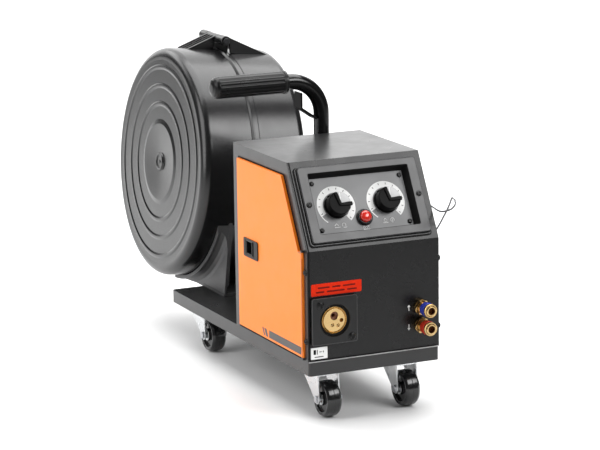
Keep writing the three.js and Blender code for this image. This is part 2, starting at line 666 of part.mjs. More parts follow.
// ---------- pedestal under the drum ----------
function addFoot() {
  const { radius, seam } = DRUM;
  const { wallX, flareX, front, wall, shelfZ } = FOOT;
  const touch = radius + 1;
  // Cradle that hugs the drum and flares out over the side walls.
  const flare = (s) => [
    [touch + 17, s * (wallX - wall)], [touch + 17, s * wallX], [touch + 11, s * (wallX + 1.2)],
    [touch + 6.5, s * (wallX + 5)], [touch + 4.2, s * (wallX + 11)], [touch + 3.8, s * flareX],
  ];
  const cradle = [
    [touch, -flareX], ...flare(-1).reverse(), [touch + 4.2, -wallX + wall + 6],
    [touch + 4.2, wallX - wall - 6], ...flare(1), [touch, flareX], [touch, -flareX],
  ];
  const reach = 300;
  const walls = join(
    box([-wallX, -wallX + wall], [front, 20], [-200, 20]),
    box([wallX - wall, wallX], [front, 20], [-200, 20]),
  );
  const ring = turned("x", cradle, [0, 0], 36);
  const shelfTop = shelfZ - DRUM.z;
  const shelf = box([-wallX, wallX], [front, front + 40], [shelfTop - 9, shelfTop - 5]);
  const brace = box([-wallX, wallX], [front + 70, front + 74], [-200, -120]);
  const drumSpace = join(
    rod("x", touch, [-reach, reach], [0, 0], 36),
    rod("x", radius + 2.8, [seam - 2.5, seam + 2.5], [0, 0], 36),
  );
  // Everything is trimmed to the pedestal's outline, which ends below the shelf and in front of
  // the drum's lowest line.
  const envelope = box([-flareX - 1, flareX + 1], [front, -8], [-230, shelfTop]);
  const base = cut(
    cut(join(ring, walls, shelf, brace), drumSpace).intersect(envelope),
    rod("y", 8, [-150, -80], [12, -130], 16),
  );
  // The sole is cut level with the tray's top, so it slopes in the drum's frame.
  const soleZ = TRAY.top + GAP;
  const below = box([-200, 200], [0, 900], [-100, soleZ]);
  const sole = box([-60, 40], [DRUM.y + front + 0.5, DRUM.y - 60], [soleZ - 5, soleZ + 4]);
  const level = (m) => m.translate([0, -DRUM.y, -DRUM.z]).rotate([0, -DRUM.lean, 0]);
  const soleWidth = box([-wallX - 0.5, wallX + 0.5], [front, -8], [-230, shelfTop]);
  const foot = cut(join(base, level(sole).intersect(soleWidth)), level(below));
  add(drum, "spool_case_foot", foot, paint.blackPlastic);
}

// ---------- spool on its hub ----------
function addSpool() {
  const { half: drumHalf } = DRUM;
  const { flange, barrel, bore, half } = SPOOL;
  const hub = [
    [0, -half - 17], [9, -half - 17], [9, -half - 1.5], [bore - 0.5, -half - 1.5], [bore - 0.5, half + 3],
    [36, half + 5], [36, drumHalf - 3.4], [20, drumHalf - 3.4], [20, drumHalf + 3], [0, drumHalf + 3],
  ];
  add(drum, "spool_hub", turned("x", hub, [0, 0], 20), paint.grey);

  const side = (s) => [[barrel, s * (half - 4)], [flange, s * (half - 4)], [flange, s * half]];
  const spool = [[bore, -half], ...side(-1).reverse(), ...side(1), [bore, half], [bore, -half]];
  add(drum, "wire_spool", turned("x", spool, [0, 0], 28), paint.darkPlastic);

  const inside = half - 4.4;
  const winding = [
    [barrel + GAP, -inside], [96, -inside], [98, -inside + 3], [98, inside - 3], [96, inside],
    [barrel + GAP, inside], [barrel + GAP, -inside],
  ];
  add(drum, "wire_winding", turned("x", winding, [0, 0], 28), paint.wire);

  const nutFrom = -half - 14;
  const nutTo = -half - 2.2;
  const disc = [
    [9.4, nutFrom], [28, nutFrom], [31, nutFrom + 3], [31, nutTo], [9.4, nutTo], [9.4, nutFrom],
  ];
  const nut = join(
    turned("x", disc, [0, 0], 18),
    ...[0, 1, 2].map((i) => box([nutFrom, nutTo], [28, 36], [-5, 5]).rotate([120 * i, 0, 0])),
  );
  add(drum, "spool_nut", nut, paint.blackPlastic);
}

// ---------- wire drive behind the door ----------
const FEED_Z = WIRE.z - ROLL.wireRadius - ROLL.feed;
const PRESS_Z = WIRE.z + ROLL.wireRadius + ROLL.press;
const GEAR_DISTANCE = (GEAR.module * (GEAR.driveTeeth + GEAR.rollTeeth)) / 2;
const DRIVE_Y = (ROLL.frontY + ROLL.rearY) / 2;
const GEAR_DROP = Math.sqrt(GEAR_DISTANCE ** 2 - (DRIVE_Y - ROLL.frontY) ** 2);
const DRIVE = { y: DRIVE_Y, z: FEED_Z - GEAR_DROP };
const PLATE = { outer: -44, inner: -36 }; // drive plate's two faces
const ARM = { y: 185, z: 162, outer: -53, inner: -49 };
const LEVER = { x: -81, y: 64, z: 116 };

function addDrive() {
  const partitionFace = PARTITION.x - PARTITION.sheet;
  const rollWidth = [WIRE.x - ROLL.width / 2, WIRE.x + ROLL.width / 2];
  const shaftHole = (y, z) => rod("x", 5.5, [-60, -20], [y, z], 12);
  const plate = cut(
    join(
      slab("yz", roundedRectangle([56, 200], [90, 184], 6), PLATE.outer, PLATE.inner, 3),
      ...[[66, 100], [66, 174], [190, 100], [190, 174]].map(([y, z]) =>
        rod("x", 6, [PLATE.inner - 1, partitionFace - GAP], [y, z], 8),
      ),
    ),
    shaftHole(ROLL.frontY, FEED_Z),
    shaftHole(ROLL.rearY, FEED_Z),
    rod("x", 8, [-60, -20], [DRIVE.y, DRIVE.z], 16),
    rod("x", 4.5, [-60, -20], [ARM.y, ARM.z], 10),
    rod("x", 4.5, [-60, -20], [LEVER.y, LEVER.z], 10),
  );
  add(feeder, "drive_plate", plate, paint.aluminium);

  // The drive gear's first tooth points straight at the front roll's gear.
  const gearX = [-53, -47.5];
  const toFront = Math.atan2(FEED_Z - DRIVE.z, ROLL.frontY - DRIVE.y);
  const drivePhase = toFront;
  const driveGear = join(
    slab("yz", gearOutline(GEAR.driveTeeth, drivePhase, [DRIVE.y, DRIVE.z]), ...gearX),
    rod("x", 5, [gearX[0] - 3, -19], [DRIVE.y, DRIVE.z], 10),
  );
  add(feeder, "drive_gear", driveGear, paint.steel);

  const rollProfile = [
    [0, rollWidth[0]], [ROLL.feed - 1, rollWidth[0]], [ROLL.feed, rollWidth[0] + 1],
    [ROLL.feed, rollWidth[1] - 1], [ROLL.feed - 1, rollWidth[1]], [0, rollWidth[1]],
  ];
  for (const [name, y] of [["feed_roll_front", ROLL.frontY], ["feed_roll_rear", ROLL.rearY]]) {
    const line = Math.atan2(FEED_Z - DRIVE.z, y - DRIVE.y);
    const driveStep = (2 * Math.PI) / GEAR.driveTeeth;
    const rollStep = (2 * Math.PI) / GEAR.rollTeeth;
    const nearest = Math.round((line - drivePhase) / driveStep) * driveStep + drivePhase;
    const offset = ((nearest - line) * GEAR.driveTeeth) / GEAR.rollTeeth;
    const phase = line + Math.PI - offset + rollStep / 2;
    const roll = join(
      turned("x", rollProfile, [y, FEED_Z], 18),
      slab("yz", gearOutline(GEAR.rollTeeth, phase, [y, FEED_Z]), ...gearX),
      rod("x", 10, [rollWidth[1] - 1, gearX[0] + 1], [y, FEED_Z], 16),
      rod("x", 5, [gearX[1] - 1, PLATE.inner + 4], [y, FEED_Z], 10),
    );
    add(feeder, name, roll, paint.steel);
  }

  // Pressure arm: a bar on a pivot at the rear, reaching out over the wire at its front end.
  const bar = [
    [68.5, 172], [68.5, 178], [100, 178], [ARM.y, ARM.z + 9], [ARM.y + 9, ARM.z],
    [ARM.y, ARM.z - 9], [92, 153], [86, 172],
  ];
  const arm = cut(
    join(
      slab("yz", bar, ARM.outer, ARM.inner),
      box([LEVER.x + 5, ARM.inner], [68.5, 84], [172, 178]),
      box([LEVER.x - 6, LEVER.x + 6], [68.5, 84], [172, 178]),
      rod("x", 4, [ARM.outer, PLATE.inner + 3], [ARM.y, ARM.z], 10),
    ),
    rod("x", 3.4, [-60, -40], [ROLL.frontY, PRESS_Z], 14),
    rod("x", 3.4, [-60, -40], [ROLL.rearY, PRESS_Z], 14),
  );
  add(feeder, "pressure_arm", arm, paint.aluminium);
  for (const [name, y] of [["pressure_roll_front", ROLL.frontY], ["pressure_roll_rear", ROLL.rearY]]) {
    const profile = [
      [0, rollWidth[0]], [ROLL.press - 1, rollWidth[0]], [ROLL.press, rollWidth[0] + 1],
      [ROLL.press, rollWidth[1] - 1], [ROLL.press - 1, rollWidth[1]], [0, rollWidth[1]],
    ];
    const idler = join(
      turned("x", profile, [y, PRESS_Z], 18),
      rod("x", 3, [rollWidth[1] - 1, ARM.inner + 2.5], [y, PRESS_Z], 12),
    );
    add(feeder, name, idler, paint.steel);
  }

  // Tension lever: a pin in the drive plate, a rod and a knob that presses on the arm's front edge.
  const knobFoot = 181.2;
  const knobTop = knobFoot + 24;
  const knob = [
    [0, knobFoot], [7.2, knobFoot], [8.2, knobFoot + 1.5], [8.2, knobTop - 2], [6.8, knobTop], [0, knobTop],
  ];
  const lever = join(
    rod("x", 4, [LEVER.x - 4, PLATE.inner + 3], [LEVER.y, LEVER.z], 10),
    rod("x", 7, [LEVER.x - 4, LEVER.x + 4], [LEVER.y, LEVER.z], 14),
    rod("z", 3, [LEVER.z, knobFoot + 2], [LEVER.x, LEVER.y], 8),
    turned("z", knob, [LEVER.x, LEVER.y], 14),
  );
  add(feeder, "tension_lever", lever, paint.blackPlastic);

  // Geared motor: the box sits on the partition and the motor's can reaches towards the right wall.
  const can = [[0, 1], [24.5, 1], [24.5, 70], [21, 74], [8, 74], [8, 80], [0, 80]];
  const gearbox = [DRIVE.y - 28, DRIVE.y + 28];
  const motor = cut(
    join(
      box([PARTITION.x + GAP, 2], gearbox, [FLOOR_OF_HOUSING + 0.6, 138]),
      turned("x", can, [DRIVE.y, DRIVE.z], 20),
    ),
    rod("x", 5.4, [PARTITION.x - 5, -18], [DRIVE.y, DRIVE.z], 14),
  );
  add(feeder, "gear_motor", motor, paint.dark);

  const { rear } = HOUSING;
  const guide = cut(
    turned("y", [
      [0, 178], [2.6, 178], [4.5, 186], [4.5, rear - 9], [10.5, rear - 9], [10.5, rear - 2.6],
      [7, rear - 2.6], [7, rear + GAP], [13, rear + GAP], [13, rear + 4], [8, rear + 5],
      [8, rear + 10], [0, rear + 10],
    ], [WIRE.x, WIRE.z], 14),
    rod("y", 1.6, [170, rear + 20], [WIRE.x, WIRE.z], 8),
  );
  add(feeder, "wire_inlet_guide", guide, paint.brass);

  // Liner hose from the drum's wire exit to the inlet guide, held at both ends.
  const route = [
    [WIRE.x, rear + 10.5, WIRE.z], [WIRE.x, rear + 32, WIRE.z], [-50, 320, 142],
    [-20, 375, 131], [-2, 415, 126], [0.6, 440, 125.6],
  ].map((p) => new THREE.Vector3(...p));
  add(feeder, "wire_conduit", roundBar(new THREE.CatmullRomCurve3(route), 6, 16, 10), paint.rubber);
}

// ---------- wire hook on the right side ----------
function addHook() {
  const x = HOUSING.half + 3;
  const route = [
    [HOUSING.half + 0.9, 30, 274], [x - 0.4, 27, 273], [x, 7, 270.4], [x, -6, 271.8], [x, -20.4, 275.9],
    [x, -30.3, 279.8], [x, -38.3, 285.2], [x, -41.1, 289.4], [x, -38, 294], [x, -32.5, 295.3],
    [x + 1, -27, 291], [x + 2.6, -15.2, 277.9], [x + 2.6, 9.6, 250.6], [x + 1, 24, 235],
    [HOUSING.half + 0.9, 29, 229.5],
  ].map((p) => new THREE.Vector3(...p));
  add(feeder, "torch_hook", roundBar(new THREE.CatmullRomCurve3(route), 1, 36, 6), paint.steel);
}

addTray();
for (const [end, axle] of [["front", CASTER.frontAxle], ["rear", CASTER.rearAxle]]) {
  for (const [side, x] of [["left", -CASTER.x], ["right", CASTER.x]]) {
    addCaster(`${end}_${side}_caster`, x, axle);
  }
}
addFrontPanel();
addHousingCover();
addRearPanel();
addPartition();
addControls();
addTorchSocket();
addCoupler("supply", COUPLER.supplyZ);
addCoupler("return", COUPLER.returnZ);
addSupplySocket();
addDoor();
addHandle();
addDrum();
addFoot();
addSpool();
addDrive();
addHook();

// Stand the whole object with its box centred on the origin and its wheels on Z = 0.
feeder.updateMatrixWorld(true);
const bounds = new THREE.Box3().setFromObject(feeder, true);
const middle = bounds.getCenter(new THREE.Vector3());
feeder.position.set(-middle.x, -middle.y, -bounds.min.z);

export default feeder;
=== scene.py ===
"""Looks for a wheeled wire feeder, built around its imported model.

Lengths are millimetres in the drawing frame: X = 0 on the middle plane, Y = 0 at the tray's front,
Z = 0 on the floor. The drum and the sloping face have frames of their own.
"""
import math

import bmesh
import bpy
from mathutils import Matrix, Vector


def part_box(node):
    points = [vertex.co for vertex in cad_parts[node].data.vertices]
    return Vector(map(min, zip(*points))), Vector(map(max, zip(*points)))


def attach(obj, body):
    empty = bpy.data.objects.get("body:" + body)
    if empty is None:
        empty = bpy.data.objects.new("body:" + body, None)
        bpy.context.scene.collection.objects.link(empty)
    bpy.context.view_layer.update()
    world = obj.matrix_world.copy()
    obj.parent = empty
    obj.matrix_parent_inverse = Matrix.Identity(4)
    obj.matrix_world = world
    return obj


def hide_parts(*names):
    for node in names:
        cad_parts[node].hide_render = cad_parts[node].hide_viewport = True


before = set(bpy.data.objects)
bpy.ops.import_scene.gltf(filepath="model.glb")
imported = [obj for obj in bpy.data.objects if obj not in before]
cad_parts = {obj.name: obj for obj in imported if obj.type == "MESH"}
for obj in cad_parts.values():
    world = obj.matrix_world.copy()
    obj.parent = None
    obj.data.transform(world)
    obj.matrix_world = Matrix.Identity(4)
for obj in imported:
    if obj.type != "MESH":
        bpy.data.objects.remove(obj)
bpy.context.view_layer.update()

# ---------- frames and driving sizes ----------
MM = 0.001
tray_low, tray_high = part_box("base_tray")
TRAY_FRONT = Vector(((tray_low.x + tray_high.x) / 2, tray_low.y, 0))
DRAWING = Matrix.Translation(TRAY_FRONT) @ Matrix.Scale(MM, 4)
# The sloping face starts at SLOPE_FOOT and rises 110 over 60. In its frame X runs to the right and
# Y up the slope; Z stands off it.
SLOPE_FOOT = (0, 1, 235)
SLOPE = DRAWING @ Matrix.Translation(SLOPE_FOOT) @ Matrix.Rotation(math.atan2(110, 60), 4, "X")
# The drum's frame has X on the drum's axle, which tips 5 degrees down to the right.
DRUM_CENTRE = Vector((0, 556, 256))
DRUM_TILT = math.radians(5)
DRUM = DRAWING @ Matrix.Translation(DRUM_CENTRE) @ Matrix.Rotation(DRUM_TILT, 4, "Y")

ROOT = "feeder"
SHARP_EDGE = math.radians(28)  # edges that turn by more than this are rounded
SIDE = 98                      # side faces of the housing, at -SIDE and SIDE
REAR = 240                     # outer face of the rear sheet
TRAY_TOP = 84
TRAY_UNDERSIDE = 62.5          # where the casters are bolted on
DOOR_FACE = -102.3             # outer face of the door
DRUM_RADIUS = 170.5
DRUM_HALF = 83                 # half the drum's width
DRUM_WALL = 3
SEAM = -3.1                    # joint between the drum's halves, along the axle
HINGE_Z = 186.5                # the cover's hinge, above the drum's axle
HINGE = (0, HINGE_Z)
WIRE = (-60.3, 145.1)          # the wire's line, as (x, z)
TORCH = (-60.4, 139.4)         # middle of the torch socket, as (x, z)
DIAL = (37, 61.5)              # the dials' middles, either side, on the sloping face
PLATE_TOP = -9                 # control plate, below the bezel's face
HANDLE = {"x": 44, "y": 253.5, "z": 420, "radius": 11, "bend": 48, "left": -124, "right": -11}


# ---------- outlines ----------
def rounded(points, soft, closed=True, steps=3):
    """The outline with its corners rounded. soft is one radius, or one for each corner."""
    count = len(points)
    radii = soft if isinstance(soft, (list, tuple)) else [soft] * count
    outline = []
    for i, point in enumerate(points):
        corner = Vector(point)
        if radii[i] == 0 or (not closed and i in (0, count - 1)):
            outline.append(corner)
            continue
        before = Vector(points[i - 1]) - corner
        after = Vector(points[(i + 1) % count]) - corner
        turn = math.pi - before.angle(after)
        if turn < 0.04:
            outline.append(corner)
            continue
        reach = min(radii[i] * math.tan(turn / 2), 0.45 * before.length, 0.45 * after.length)
        for k in range(steps + 1):
            t = k / steps
            bend = before.normalized() * (1 - t) ** 2 + after.normalized() * t ** 2
            outline.append(corner + bend * reach)
    return outline


def rectangle(u, v, radius=0.0, steps=6):
    corners = [(u[0], v[0]), (u[1], v[0]), (u[1], v[1]), (u[0], v[1])]
    return rounded(corners, radius, steps=steps)


def circle(radius, at=(0, 0), count=64):
    turns = [2 * math.pi * i / count for i in range(count)]
    return [Vector((at[0] + radius * math.cos(a), at[1] + radius * math.sin(a))) for a in turns]


def arc(radius, start, end, at=(0, 0), steps=24):
    """Points on a circle from one angle to another, in degrees."""
    angles = [math.radians(start + (end - start) * i / steps) for i in range(steps + 1)]
    return [Vector((at[0] + radius * math.cos(a), at[1] + radius * math.sin(a))) for a in angles]


# ---------- solids, as bmesh in millimetres ----------
PLANES = {
    "yz": (Vector((0, 1, 0)), Vector((0, 0, 1)), Vector((1, 0, 0))),
    "xz": (Vector((1, 0, 0)), Vector((0, 0, 1)), Vector((0, 1, 0))),
    "xy": (Vector((1, 0, 0)), Vector((0, 1, 0)), Vector((0, 0, 1))),
}
AXES = {"x": "yz", "y": "xz", "z": "xy"}


def soften(solid, width, steps=2):
    """Rounds every edge that turns by more than SHARP_EDGE."""
    if not width:
        return solid
    sharp = [e for e in solid.edges if len(e.link_faces) == 2 and e.calc_face_angle(0) > SHARP_EDGE]
    bmesh.ops.bevel(solid, geom=sharp, offset=width, segments=steps, profile=0.5, affect="EDGES",
                    clamp_overlap=True)
    return solid


def prism(plane, outline, low, high, soft=0.4):
    """An outline extruded square to a plane, with softened edges."""
    u, v, w = PLANES[plane]
    solid = bmesh.new()
    verts = [solid.verts.new(u * p[0] + v * p[1] + w * low) for p in outline]
    face = solid.faces.new(verts)
    grown = bmesh.ops.extrude_face_region(solid, geom=[face])
    moved = [g for g in grown["geom"] if isinstance(g, bmesh.types.BMVert)]
    bmesh.ops.translate(solid, verts=moved, vec=w * (high - low))
    bmesh.ops.recalc_face_normals(solid, faces=solid.faces)
    return soften(solid, soft)


def block(x, y, z, soft, corner=0.0):
    return prism("xy", rectangle(x, y, corner), *z, soft)


def lofted(outlines, closed=False, capped=False):
    """A skin over outlines of 3-D points, from each to the next. An outline of one point is a tip."""
    solid = bmesh.new()
    rings = [[solid.verts.new(point) for point in outline] for outline in outlines]
    count = max(len(ring) for ring in rings)
    for first, second in list(zip(rings, rings[1:])) + ([(rings[-1], rings[0])] if closed else []):
        for i in range(count):
            j = (i + 1) % count
            corners = (first[i % len(first)], first[j % len(first)],
                       second[j % len(second)], second[i % len(second)])
            corners = list(dict.fromkeys(corners))
            if len(corners) > 2:
                solid.faces.new(corners)
    if capped:
        solid.faces.new(rings[0])
        solid.faces.new(rings[-1])
    bmesh.ops.recalc_face_normals(solid, faces=solid.faces)
    return solid


def turned(axis, profile, at=(0, 0), segments=96, soft=0.35, ring=False, radius_at=None):
    """A profile of (radius, distance along) turned round an axis. ring closes the profile on itself.
    radius_at(radius, along, angle) may change the radius round the turn."""
    u, v, w = PLANES[AXES[axis]]
    centre = u * at[0] + v * at[1]
    outlines = []
    for radius, along in rounded(profile, soft, closed=ring):
        outline = []
        for i in range(1 if radius < 1e-6 else segments):
            angle = 2 * math.pi * i / segments
            r = radius_at(radius, along, angle) if radius_at else radius
            outline.append(centre + w * along + (u * math.cos(angle) + v * math.sin(angle)) * r)
        outlines.append(outline)
    return lofted(outlines, closed=ring)


def shifted(profile, by):
    """A profile of (radius, distance along) moved along its axis."""
    return [(radius, along + by) for radius, along in profile]


def rod(axis, radius, span, at=(0, 0), soft=0.3, segments=48):
    profile = [(0, span[0]), (radius, span[0]), (radius, span[1]), (0, span[1])]
    return turned(axis, profile, at, segments, soft)


def framed(plane, outer, inner, span, soft):
    """A flat frame between two outlines."""
    return cut(prism(plane, outer, *span, soft), prism(plane, inner, span[0] - 1, span[1] + 1, 0))


def swept(path, section):
    """A section carried along a path: a list of points, or a function of the share of the way."""
    points = [Vector(p) for p in path]
    last = len(points) - 1
    side = (points[1] - points[0]).normalized().orthogonal().normalized()
    outlines = []
    for i, point in enumerate(points):
        tangent = (points[min(i + 1, last)] - points[max(i - 1, 0)]).normalized()
        side = (side - tangent * side.dot(tangent)).normalized()
        up = tangent.cross(side)
        outline = section(i / last) if callable(section) else section
        outlines.append([point + side * q[0] + up * q[1] for q in outline])
    return lofted(outlines, capped=True)


def bent_path(points, bend, steps=20):
    """Straight runs joined by true arcs of the bend radius."""
    corners = [Vector(p) for p in points]
    path = [corners[0]]
    for before, corner, after in zip(corners, corners[1:], corners[2:]):
        back = (before - corner).normalized()
        ahead = (after - corner).normalized()
        turn = math.pi - back.angle(ahead)
        centre = corner + (back + ahead).normalized() * bend / math.cos(turn / 2)
        start = corner + back * bend * math.tan(turn / 2) - centre
        axis = start.cross(-back).normalized()
        path += [centre + Matrix.Rotation(turn * i / steps, 3, axis) @ start for i in range(steps + 1)]
    return path + [corners[-1]]


def smooth_path(points, steps=8):
    """A Catmull-Rom curve through the points."""
    knots = [Vector(p) for p in points]
    knots = [2 * knots[0] - knots[1]] + knots + [2 * knots[-1] - knots[-2]]
    path = []
    for a, b, c, d in zip(knots, knots[1:], knots[2:], knots[3:]):
        for i in range(steps):
            t = i / steps
            path.append(
                0.5 * (2 * b + (c - a) * t + (2 * a - 5 * b + 4 * c - d) * t ** 2
                       + (3 * b - a - 3 * c + d) * t ** 3)
            )
    return path + [knots[-2]]


def moved(solid, matrix):
    bmesh.ops.transform(solid, matrix=matrix, verts=solid.verts)
    return solid


def gathered(*solids):
    """Separate solids in one mesh."""
    whole = bmesh.new()
    for solid in solids:
        part = bpy.data.meshes.new("part")
        solid.to_mesh(part)
        solid.free()
        whole.from_mesh(part)
        bpy.data.meshes.remove(part)
    return whole


def as_object(name, solid):
    mesh = bpy.data.meshes.new(name)
    solid.to_mesh(mesh)
    solid.free()
    thing = bpy.data.objects.new(name, mesh)
    bpy.context.scene.collection.objects.link(thing)
    return thing


def boolean(base, tools, operation):
    """base joined with, cut by or kept inside each tool."""
    target = as_object("boolean_base", base)
    cutters = [as_object("boolean_tool", tool) for tool in tools]
    for cutter in cutters:
        step = target.modifiers.new("step", "BOOLEAN")
        step.operation = operation
        step.solver = "MANIFOLD"
        step.object = cutter
    bpy.context.view_layer.update()
    result = bmesh.new()
    evaluated = target.evaluated_get(bpy.context.evaluated_depsgraph_get())
    result.from_mesh(evaluated.to_mesh())
    evaluated.to_mesh_clear()
    for thing in [target, *cutters]:
        mesh = thing.data
        bpy.data.objects.remove(thing)
        bpy.data.meshes.remove(mesh)
    bmesh.ops.remove_doubles(result, verts=result.verts, dist=1e-4)
    return result


def cut(base, *tools):
    return boolean(base, tools, "DIFFERENCE")


def join(base, *tools):
    return boolean(base, tools, "UNION")


def inside(base, *tools):
    return boolean(base, tools, "INTERSECT")


def from_node(node, soft, steps):
    """A CAD node's own shape with its edges softened, in drawing millimetres."""
    solid = bmesh.new()
    solid.from_mesh(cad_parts[node].data)
    moved(solid, DRAWING.inverted())
    bmesh.ops.remove_doubles(solid, verts=solid.verts, dist=1e-3)
    bmesh.ops.dissolve_limit(
        solid, angle_limit=math.radians(1), verts=solid.verts, edges=solid.edges
    )
    return soften(solid, soft, steps)


def piece(name, solid, body, look, place=DRAWING, replaces=(), shading=32):
    """A finished piece: its mesh in the row frame, smooth shading, material and body."""
    bmesh.ops.dissolve_degenerate(solid, dist=1e-4, edges=solid.edges)
    thing = as_object(name, solid)
    thing.data.transform(place)
    material, slot = look
    thing.data.materials.clear()
    thing.data.materials.append(material)
    thing.data.shade_smooth()
    thing.data.set_sharp_from_angle(angle=math.radians(shading))
    normals = thing.modifiers.new("normals", "WEIGHTED_NORMAL")
    normals.keep_sharp = True
    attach(thing, body)
    if replaces:
        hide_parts(*replaces)
    return thing


def softened(name, node, body, look, soft, steps=2):
    """A piece that is its CAD node with softened edges."""
    piece(name, from_node(node, soft, steps), body, look, replaces=[node])


# ---------- materials ----------
class Nodes:
    """Short way to place shader nodes in one material."""

    def __init__(self, name):
        self.material = bpy.data.materials.new(name)
        self.material.use_nodes = True
        self.tree = self.material.node_tree
        self.shader = self.tree.nodes["Principled BSDF"]
        self.place = self.tree.nodes.new("ShaderNodeTexCoord").outputs["Object"]

    def add(self, kind, **values):
        node = self.tree.nodes.new("ShaderNode" + kind)
        for key, value in values.items():
            if hasattr(node, key):
                setattr(node, key, value)
            else:
                self.put(value, node.inputs[key.replace("_", " ")])
        return node

    def put(self, value, socket):
        if isinstance(value, bpy.types.NodeSocket):
            self.tree.links.new(value, socket)
        else:
            socket.default_value = value

    def stretched(self, scale):
        """Object coordinates stretched along some axes."""
        mapping = self.add("Mapping")
        self.put(self.place, mapping.inputs["Vector"])
        mapping.inputs["Scale"].default_value = scale
        return mapping.outputs["Vector"]

    def noise(self, scale, detail=3.0, roughness=0.55, vector=None):
        node = self.add("TexNoise", Scale=scale, Detail=detail, Roughness=roughness)
        self.put(vector or self.place, node.inputs["Vector"])
        return node.outputs["Fac"]

    def range(self, value, low, high, start=0.3, end=0.7):
        node = self.add("MapRange")
        for socket, number in zip(node.inputs, (value, start, end, low, high)):
            self.put(number, socket)
        return node.outputs["Result"]

    def mix(self, share, first, second):
        node = self.add("Mix", data_type="RGBA")
        self.put(share, node.inputs[0])
        self.put(first, node.inputs[6])
        self.put(second, node.inputs[7])
        return node.outputs[2]

    def bump(self, height, depth, before=None):
        """Bump with a depth in millimetres."""
        node = self.add("Bump", Strength=1.0, Distance=depth * MM)
        self.put(height, node.inputs["Height"])
        if before:
            self.put(before, node.inputs["Normal"])
        return node.outputs["Normal"]


def tint(colour, factor):
    return (*(min(1.0, c * factor) for c in colour), 1.0)


def finish(name, colour, rough, metal=0.0, mottle=0.03, grain=(900, 0.01), waves=(25, 0.0), smudge=0.03,
           coat=0.0, specular=0.5, stretch=None):
    """A surface with colour variation, smudged gloss, fine grain and long waves.
    grain and waves are (scale per metre, depth in mm)."""
    nodes = Nodes(name)
    shader = nodes.shader
    field = nodes.stretched(stretch) if stretch else None
    base = nodes.mix(nodes.range(nodes.noise(9, vector=field), 0.0, 1.0), tint(colour, 1 - mottle),
                     tint(colour, 1 + mottle))
    roughness = nodes.range(nodes.noise(35, 4, vector=field), max(0.02, rough - smudge), rough + smudge)
    nodes.put(base, shader.inputs["Base Color"])
    nodes.put(roughness, shader.inputs["Roughness"])
    shader.inputs["Metallic"].default_value = metal
    shader.inputs["Specular IOR Level"].default_value = specular
    shader.inputs["Coat Weight"].default_value = coat
    shader.inputs["Coat Roughness"].default_value = 0.08
    normal = nodes.bump(nodes.noise(grain[0], 2, vector=field), grain[1])
    if waves[1]:
        normal = nodes.bump(nodes.noise(waves[0], 1), waves[1], normal)
    nodes.put(normal, shader.inputs["Normal"])
    return nodes.material


def surface(slot, *values, **details):
    """A finish with the colour slot that its pieces take."""
    return finish(*values, **details), slot


DARK_PAINT = surface("dark_paint", "charcoal powder coat", (0.018, 0.018, 0.0185), 0.30,
                     grain=(1400, 0.008), waves=(260, 0.003), specular=0.45)
PANEL_PAINT = surface("panel_paint", "black powder coat", (0.007, 0.007, 0.0073), 0.28,
                      grain=(1500, 0.006), waves=(260, 0.0015), specular=0.28)
ORANGE_PAINT = surface("orange_paint", "orange powder coat", (0.93, 0.21, 0.012), 0.42, mottle=0.015,
                       grain=(1500, 0.008), waves=(260, 0.004), specular=0.3)
ZINC = surface("zinc", "zinc plate", (0.66, 0.67, 0.68), 0.28, 1.0, mottle=0.07, grain=(700, 0.006),
               smudge=0.09)
SHELL_PLASTIC = surface("black_plastic", "moulded shell plastic", (0.006, 0.006, 0.0063), 0.25,
                        grain=(1100, 0.005), waves=(9, 0.01), smudge=0.02)
PEDESTAL_PLASTIC = surface("black_plastic", "pedestal plastic", (0.05, 0.05, 0.051), 0.52,
                           grain=(1100, 0.005), specular=0.7)
BLACK_PLASTIC = surface("black_plastic", "black plastic", (0.006, 0.006, 0.0063), 0.32,
                        grain=(1300, 0.006), specular=0.35)
GLOSS_PLASTIC = surface("black_plastic", "gloss black plastic", (0.011, 0.011, 0.012), 0.14,
                        grain=(800, 0.003), smudge=0.04, coat=0.4)
WHEEL_PLASTIC = surface("black_plastic", "wheel tread", (0.007, 0.007, 0.0073), 0.2, grain=(900, 0.006),
                        smudge=0.07, coat=0.25)
GREY_PLASTIC = surface("grey_plastic", "grey plastic", (0.16, 0.162, 0.165), 0.4, mottle=0.04,
                       grain=(1300, 0.012))
# Pale finish for painted highlights and reflections.
PALE_SHEEN = surface("grey_plastic", "pale pointer plastic", (0.42, 0.42, 0.42), 0.3, mottle=0.04,
                       grain=(1200, 0.006))
# Bezel plastic, also used for painted highlight strips.
BEZEL_PLASTIC_AND_HIGHLIGHT = surface("grey_plastic", "bezel plastic", (0.035, 0.035, 0.036), 0.36, mottle=0.04,
                        grain=(1300, 0.012))
LATCH_PLASTIC = surface("grey_plastic", "latch plastic", (0.040, 0.037, 0.035), 0.5, mottle=0.04,
                        grain=(1300, 0.008), specular=0.12)
RED_PLASTIC = surface("red_plastic", "red plastic", (0.62, 0.025, 0.015), 0.12, grain=(700, 0.002),
                      coat=0.8)
GALVANISED = surface("zinc", "galvanised sheet", (0.40, 0.41, 0.42), 0.5, 1.0, mottle=0.09,
                     grain=(700, 0.006), smudge=0.08)
BRASS = surface("brass", "turned brass", (0.55, 0.38, 0.17), 0.22, 1.0, mottle=0.08, grain=(1500, 0.004),
                smudge=0.08, stretch=(1, 9, 1))
STEEL = surface("steel", "machined steel", (0.52, 0.53, 0.55), 0.3, 1.0, grain=(1600, 0.004),
                stretch=(8, 1, 1))
ALUMINIUM = surface("aluminium", "cast aluminium", (0.66, 0.67, 0.69), 0.42, 1.0, grain=(700, 0.02))
RUBBER = surface("rubber", "grip rubber", (0.005, 0.005, 0.0052), 0.3, grain=(1200, 0.006), smudge=0.05,
                 specular=0.24)
ENAMEL = surface("tube_paint", "black enamel", (0.004, 0.004, 0.0042), 0.16, grain=(300, 0.003),
                 smudge=0.05, specular=0.4)
